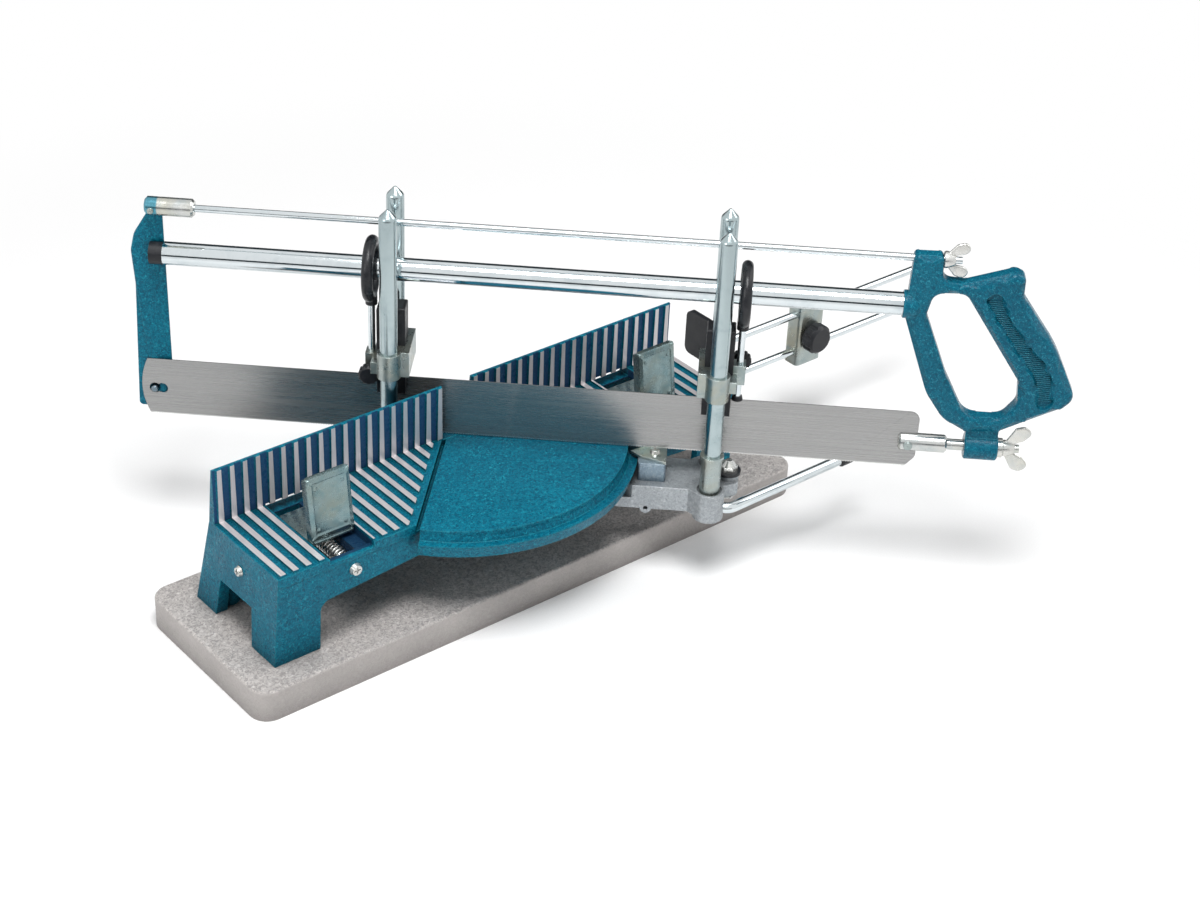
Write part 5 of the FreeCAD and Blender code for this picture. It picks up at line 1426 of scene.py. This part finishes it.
@dataclass
class Blade(SubAssembly):
    """Blade with ground teeth, a bowed front end and a keyhole."""

    low: float = 96.8
    high: float = 141.8
    front: float = -226.7
    back: float = 326.2
    nose: float = 53.0
    corner: float = 7.0
    pitch: float = 1.8
    gullet: float = 0.85
    thick: float = 1.0
    pin_hole: Corner = (319.5, 117.3, 2.02)
    keyhole: Corner = (-217.5, 118.0, 3.9)
    keyhole_step: float = 5.2

    def build(self) -> None:
        """Build the blade and hang it in the saw."""
        outlines = [self._outline(), self._keyhole(), ring(*self.pin_hole)]
        piece = plate("blade_toothed", outlines, self.thick, 0.15, SAW.side(), 1)
        self.settle(piece, self.finishes.blade, "saw", Slot.BLADE, "blade")

    def _outline(self) -> list[Pair]:
        """Edge of the blade from the nose round to the teeth.

        Returns:
            The closed outline.
        """
        bow = math.asin((self.high - self.low) / 2 / self.nose)
        points = arc(self.front + self.nose, (self.low + self.high) / 2, self.nose,
                     (math.pi + bow, math.pi - bow), 14)
        corner, inner = self.corner, self.back - self.corner
        points += arc(inner, self.high - corner, corner, (math.pi / 2, 0.0), 8)
        points += [(self.back, self.low + corner + 2.5), (self.back - 1.0, self.low + corner),
                   (inner, self.low)]
        station = inner - 2.0
        while station - self.pitch > points[0][0] + 2.0:
            points.append((station, self.low))
            points.append((station - 0.25 * self.pitch, self.low + self.gullet))
            station -= self.pitch
        return points

    def _keyhole(self) -> list[Pair]:
        """Two overlapping holes for the hook.

        Returns:
            The closed outline.
        """
        station, level, radius = self.keyhole
        cut = math.acos(self.keyhole_step / 2 / radius)
        left = arc(station, level, radius, (cut, math.tau - cut), 16)
        right = arc(station + self.keyhole_step, level, radius,
                    (cut - math.pi, math.pi - cut), 16)
        return left + right


@dataclass
class Handle(SubAssembly):
    """Closed handle with a boss on the tube, a ridged grip and a lower boss."""

    half: float = 7.0
    rim: float = 3.2
    bulge: float = 1.2
    bulge_from: Pair = (343.0, 140.0)
    bulge_reach: float = 16.0
    sink: float = 3.0
    sink_wall: float = 1.2
    tube_level: float = 227.0
    stud_level: float = 117.3
    web_margin: float = 0.3
    ridge_pitch: float = 1.6
    ridge_height: float = 0.7
    ridge_share: float = 0.36
    ridge_margin: float = 6.0
    ridge_gap: float = 1.5
    outer: tuple[Corner, ...] = (
        (307.6, 266.8, 3), (327.3, 267.2, 3), (328.4, 248.4, 7), (343.5, 247.4, 4),
        (376.5, 258.8, 7), (383.8, 255.6, 5), (384.2, 240.5, 12), (411.4, 203.0, 110),
        (430.0, 164.0, 9), (422.3, 155.4, 9), (398.5, 142.6, 20), (380.5, 132.6, 6),
        (358.0, 131.2, 5), (341.0, 140.6, 26), (327.2, 160.5, 40), (306.0, 219.5, 6))
    opening: tuple[Corner, ...] = (
        (320.5, 222, 8), (324, 238.8, 8), (345.5, 239.8, 8), (389.4, 174.5, 9),
        (391, 157, 10), (381.5, 143.6, 10), (356, 143.6, 14), (339.2, 175.8, 60))
    panel: tuple[Corner, ...] = (
        (357.8, 238, 4), (364.3, 244.4, 5), (369.7, 241.5, 5), (377.7, 223.8, 14),
        (395.2, 202.2, 14), (404.8, 193.0, 12), (412, 180, 12), (415.9, 160, 6),
        (411, 154.8, 5), (404.2, 155.6, 3), (399.5, 178, 14), (385, 197, 20), (366.8, 223, 20))
    web: tuple[Pair, ...] = ((359.0, 117), (381.0, 117), (382.0, 138), (358.5, 138))
    tube_boss: tuple[Pair, ...] = ((304.0, 8.2), (304.0, 9.4), (304.6, 9.8), (311.0, 9.8),
                                   (314.2, 8.8), (317.0, 6.0), (318.0, 0.0))
    stud_boss: tuple[Pair, ...] = ((359.0, 3.1), (359.0, 8.6), (359.9, 9.5), (381.6, 9.5),
                                   (382.5, 8.6), (382.5, 3.1))

    def build(self) -> None:
        """Build the handle and its grip panels."""
        panel = eased(self.panel, 5)
        loop = joined("handle_casting", [
            plate("handle_loop", [eased(self.outer, 9), eased(self.opening, 9)], 2 * self.half,
                  self.rim, SAW.side(), 6, self._swell,
                  Sunk(tuple(panel), self.sink, self.sink_wall)),
            lathe("handle_tube_boss", self.tube_boss, SAW.shaft(0, self.tube_level)),
            lathe("handle_stud_boss", self.stud_boss, SAW.shaft(0, self.stud_level)),
            plate("handle_web", [self.web], 2 * (self.half - self.web_margin), 3.0,
                  SAW.side(), 4)])
        self.settle(loop, self.finishes.handle, "saw", Slot.HANDLE, "handle")
        for name, sign in (("near", 1), ("far", -1)):
            piece = poured(f"grip_ridges_{name}", self._ridges(sign, panel), SAW.side())
            self.settle(piece, self.finishes.grip, "saw", Slot.HANDLE)

    def _swell(self, spots: np.ndarray) -> np.ndarray:
        """Extra half thickness, which grows from the tube towards the grip."""
        shares = np.clip((spots - np.array(self.bulge_from)) / self.bulge_reach, 0.0, 1.0)
        return smoothed(shares[:, 0] * shares[:, 1]) * self.bulge

    def _ridges(self, sign: int, panel: list[Pair]) -> bmesh.types.BMesh:
        """Half-round ridges that cross the panel's floor.

        Args:
            sign: Direction out of the face.
            panel: Edge of the panel.

        Returns:
            The ridges in the saw's side frame.
        """
        levels = [level for _, level in panel]
        build = bmesh.new()
        level = min(levels) + self.ridge_margin
        while level < max(levels) - self.ridge_margin:
            cuts = crossings(panel, level)
            if max(cuts) - min(cuts) > 4 * self.ridge_gap:
                self._ridge(build, (min(cuts) + self.ridge_gap, max(cuts) - self.ridge_gap),
                            level, sign)
            level += self.ridge_pitch
        bmesh.ops.recalc_face_normals(build, faces=build.faces)
        return build

    def _ridge(self, build: bmesh.types.BMesh, ends: Pair, level: float, sign: int) -> None:
        """One ridge across the panel.

        Args:
            build: Faces that it is added to.
            ends: Stations of its two ends.
            level: Its height on the grip.
            sign: Direction out of the face.
        """
        width, height = self.ridge_pitch * self.ridge_share, self.ridge_height
        profile = [(-width, -0.3), (-width, 0.1), (-width * 0.55, height * 0.85), (0, height),
                   (width * 0.55, height * 0.85), (width, 0.1), (width, -0.3)]
        rows = []
        for station in ends:
            floor = self.half + float(self._swell(np.array([[station, level]]))[0]) - self.sink
            rows.append([build.verts.new((station * MM, (level + up) * MM,
                                          sign * (floor + out) * MM)) for up, out in profile])
        first, last = rows
        for index in range(len(profile) - 1):
            build.faces.new((first[index], first[index + 1], last[index + 1], last[index]))
        build.faces.new(first[::-1])
        build.faces.new(last)


def crossings(outline: Sequence[Pair], level: float) -> list[float]:
    """Where a level line meets a closed outline.

    Args:
        outline: Closed outline.
        level: Height of the line.

    Returns:
        Distances along the line.
    """
    found = []
    for first, second in zip(outline, [*outline[1:], outline[0]]):
        low, high = first[1] - level, second[1] - level
        if low * high < 0:
            found.append(first[0] + (second[0] - first[0]) * low / (low - high))
    return found


@dataclass
class WingNut(SubAssembly):
    """Wing nut with a turned hub and two leaf-shaped wings."""

    name: str = "lower_wing_nut"
    body: str = "lower_nut"
    station: float = 386.0
    level: float = 117.3
    length: float = 8.6
    reach: float = 17.0
    bore: float = 3.05
    flare: float = 19.5
    foot: float = 5.2
    girth: float = 5.9
    neck: float = 4.6
    wing_thick: float = 2.4

    def build(self) -> None:
        """Build the nut in place."""
        profile = [(0.02, self.bore), (0.02, self.foot), (0.8, self.girth), (2.2, self.girth),
                   (self.length - 1.0, self.neck), (self.length, 3.9), (self.length, self.bore)]
        hub = lathe(f"{self.name}_hub", profile, SAW.shaft(self.station, self.level), 40)
        wings = [self._wing(sign) for sign in (-1, 1)]
        piece = joined(f"{self.name}_forged", [hub, *wings])
        self.settle(piece, self.finishes.screw, self.body, Slot.ZINC, self.name)

    def _wing(self, sign: int) -> bpy.types.Object:
        """One flaring wing.

        Args:
            sign: 1 for the upper wing, -1 for the lower one.

        Returns:
            The wing.
        """
        reach, tip = self.reach, self.flare + 1.4
        corners = [(1.0, 3.6, 0.5), (3.6, reach * 0.5, 6), (8.0, reach - 0.4, 4.0),
                   (14.6, reach + 1.6, 5.0), (tip, reach - 3.6, 4.5),
                   (14.8, reach * 0.40, 6), (self.length - 0.8, 3.4, 0.5)]
        outline = eased([(x, sign * y, bend) for x, y, bend in corners], 6)
        return plate(f"{self.name}_wing", [outline[::sign]], self.wing_thick, 1.0,
                     SAW.side(self.station, 0, self.level), 4)


# ---------------------------------------------------------------- studio


@dataclass
class Studio:
    """Pale floor, soft lamps, even sky and the camera."""

    lens: float = 68.39
    sensor: float = 36.0
    yaw: float = 40.84
    pitch: float = 32.47
    roll: float = 2.83
    eye: Place = (-0.82659, -1.11296, 0.96866)
    nearest: float = 0.05
    sky_strength: float = 0.36
    floor_size: float = 6.0
    glow_reach: Pair = (0.36, 0.85)
    aim: Place = (0.05, -0.05, 0.1)
    lamps: tuple[tuple[str, Place, float, float], ...] = (
        ("key_lamp", (-0.4, -0.7, 2.4), 1.0, 50.0),
        ("side_lamp", (1.7, -0.7, 1.5), 0.9, 11.0),
        ("left_lamp", (-1.9, -0.2, 1.1), 0.9, 8.0))
    cards: tuple[tuple[str, Place, Pair, Place], ...] = (
        ("front_card", (-1.3, -1.5, 0.30), (3.6, 0.56), (0.654, 0.757, 0)),
        ("back_card", (1.3, 1.5, 1.05), (4.2, 2.00), (-0.654, -0.757, 0)))

    def build(self) -> None:
        """Set up everything round the saw."""
        bpy.context.scene.view_settings.view_transform = "Standard"
        self._camera()
        self._sky()
        self._floor()
        for lamp in self.lamps:
            self._lamp(*lamp)
        for card in self.cards:
            self._card(*card)

    @staticmethod
    def _stand(name: str, data: Any) -> bpy.types.Object:
        """Put an object into the scene.

        Args:
            name: Name of the object.
            data: Its mesh, lamp or camera.

        Returns:
            The object.
        """
        item = bpy.data.objects.new(name, data)
        bpy.context.scene.collection.objects.link(item)
        return item

    def _camera(self) -> None:
        """Camera at the photograph's angle."""
        yaw, pitch, roll = (math.radians(v) for v in (self.yaw, self.pitch, self.roll))
        level = Vector((math.cos(yaw), -math.sin(yaw), 0.0))
        ahead = Vector((math.sin(yaw) * math.cos(pitch), math.cos(yaw) * math.cos(pitch),
                        -math.sin(pitch)))
        rise = level.cross(ahead)
        right = level * math.cos(roll) + rise * math.sin(roll)
        up = rise * math.cos(roll) - level * math.sin(roll)
        data = bpy.data.cameras.new("photo_camera")
        data.sensor_fit = "HORIZONTAL"
        data.sensor_width = self.sensor
        data.lens = self.lens
        data.clip_start = self.nearest
        camera = self._stand("photo_camera", data)
        camera.matrix_world = (Matrix.Translation(self.eye)
                               @ Matrix((right, up, -ahead)).transposed().to_4x4())
        bpy.context.scene.camera = camera

    def _sky(self) -> None:
        """Even light, seen as plain white by the camera and in reflections."""
        graph = Graph(bpy.data.worlds.new("studio_sky"))
        lit, seen = (graph.add("ShaderNodeBackground", {0: (1, 1, 1, 1), 1: strength}).outputs[0]
                     for strength in (self.sky_strength, 1.0))
        mix = graph.add("ShaderNodeMixShader", {0: graph.backdrop_seen(), 1: lit, 2: seen})
        bpy.context.scene.world = graph.show(mix.outputs[0], "ShaderNodeOutputWorld")

    def _floor(self) -> None:
        """Pale floor that keeps the saw's shadow and glows white further out."""
        half = self.floor_size / 2
        mesh = bpy.data.meshes.new("studio_floor")
        mesh.from_pydata([(-half, -half, 0), (half, -half, 0), (half, half, 0),
                          (-half, half, 0)], [], [(0, 1, 2, 3)])
        graph = paint_pot("floor_paper")
        colour = graph.tint(graph.span(graph.noise(900.0, 2.0), 0.3, 0.7), (0.92, 0.92, 0.92),
                            (0.95, 0.95, 0.95))
        surface = graph.add("ShaderNodeBsdfPrincipled", {"Base Color": colour, "Roughness": 0.9})
        glow = graph.add("ShaderNodeEmission", {"Color": (1, 1, 1, 1), "Strength": 1.0})
        reach = graph.span(graph.measure("LENGTH", graph.place()), *self.glow_reach)
        mix = graph.add("ShaderNodeMixShader", {
            0: graph.product(graph.backdrop_seen(), reach), 1: surface.outputs[0],
            2: glow.outputs[0]})
        mesh.materials.append(graph.show(mix.outputs[0]))
        self._stand("studio_floor", mesh)

    def _lamp(self, name: str, place: Place, size: float, power: float) -> None:
        """Soft square lamp that faces the saw.

        Args:
            name: Name of the lamp.
            place: Where it hangs, in metres.
            size: Length of its sides, in metres.
            power: Its power in watts.
        """
        data = bpy.data.lights.new(name, "AREA")
        data.size = size
        data.energy = power
        lamp = self._stand(name, data)
        lamp.location = place
        aim = Vector(self.aim) - Vector(place)
        lamp.rotation_euler = aim.to_track_quat("-Z", "Y").to_euler()

    def _card(self, name: str, place: Place, size: Pair, facing: Place) -> None:
        """Dark card that only reflections show, as photographers stand beside chrome.

        Args:
            name: Name of the card.
            place: Its middle, in metres.
            size: Its width and height, in metres.
            facing: Direction that it looks in.
        """
        side = Vector(facing).cross(UP).normalized() * size[0] / 2
        up = UP * size[1] / 2
        spot = Vector(place)
        corners = [spot - side - up, spot + side - up, spot + side + up, spot - side + up]
        mesh = bpy.data.meshes.new(name)
        mesh.from_pydata([tuple(corner) for corner in corners], [], [(0, 1, 2, 3)])
        card = self._stand(name, mesh)
        graph = paint_pot(f"{name}_felt")
        colour = graph.tint(graph.noise(400.0, 2.0), (0.012, 0.018, 0.022), (0.03, 0.04, 0.046))
        mesh.materials.append(graph.close({"Base Color": colour, "Roughness": 0.95}))
        card.visible_camera = False
        card.visible_diffuse = False
        card.visible_shadow = False


def main() -> None:
    """Build the dressed saw."""
    logging.basicConfig(level=logging.INFO, format="%(name)s %(message)s")
    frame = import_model()
    finishes = Finishes()
    Studio().build()
    groups: list[SubAssembly] = [
        Table(finishes, frame),
        Jaw(finishes, frame),
        Jaw(finishes, frame, side="right", centre=142.5, tab_centre=140.0),
        SwingArm(finishes, frame),
        Carriages(finishes, frame),
        SawBars(finishes, frame),
        Blade(finishes, frame),
        Handle(finishes, frame),
        WingNut(finishes, frame),
        WingNut(finishes, frame, name="top_wing_nut", body="top_nut", station=327.5,
                level=262.8, length=8.0, reach=12.0, bore=2.55, flare=16.5),
    ]
    for group in groups:
        group.build()
        LOG.info("%s is ready", type(group).__name__)
    bpy.context.view_layer.update()


if __name__ == "__main__":
    main()
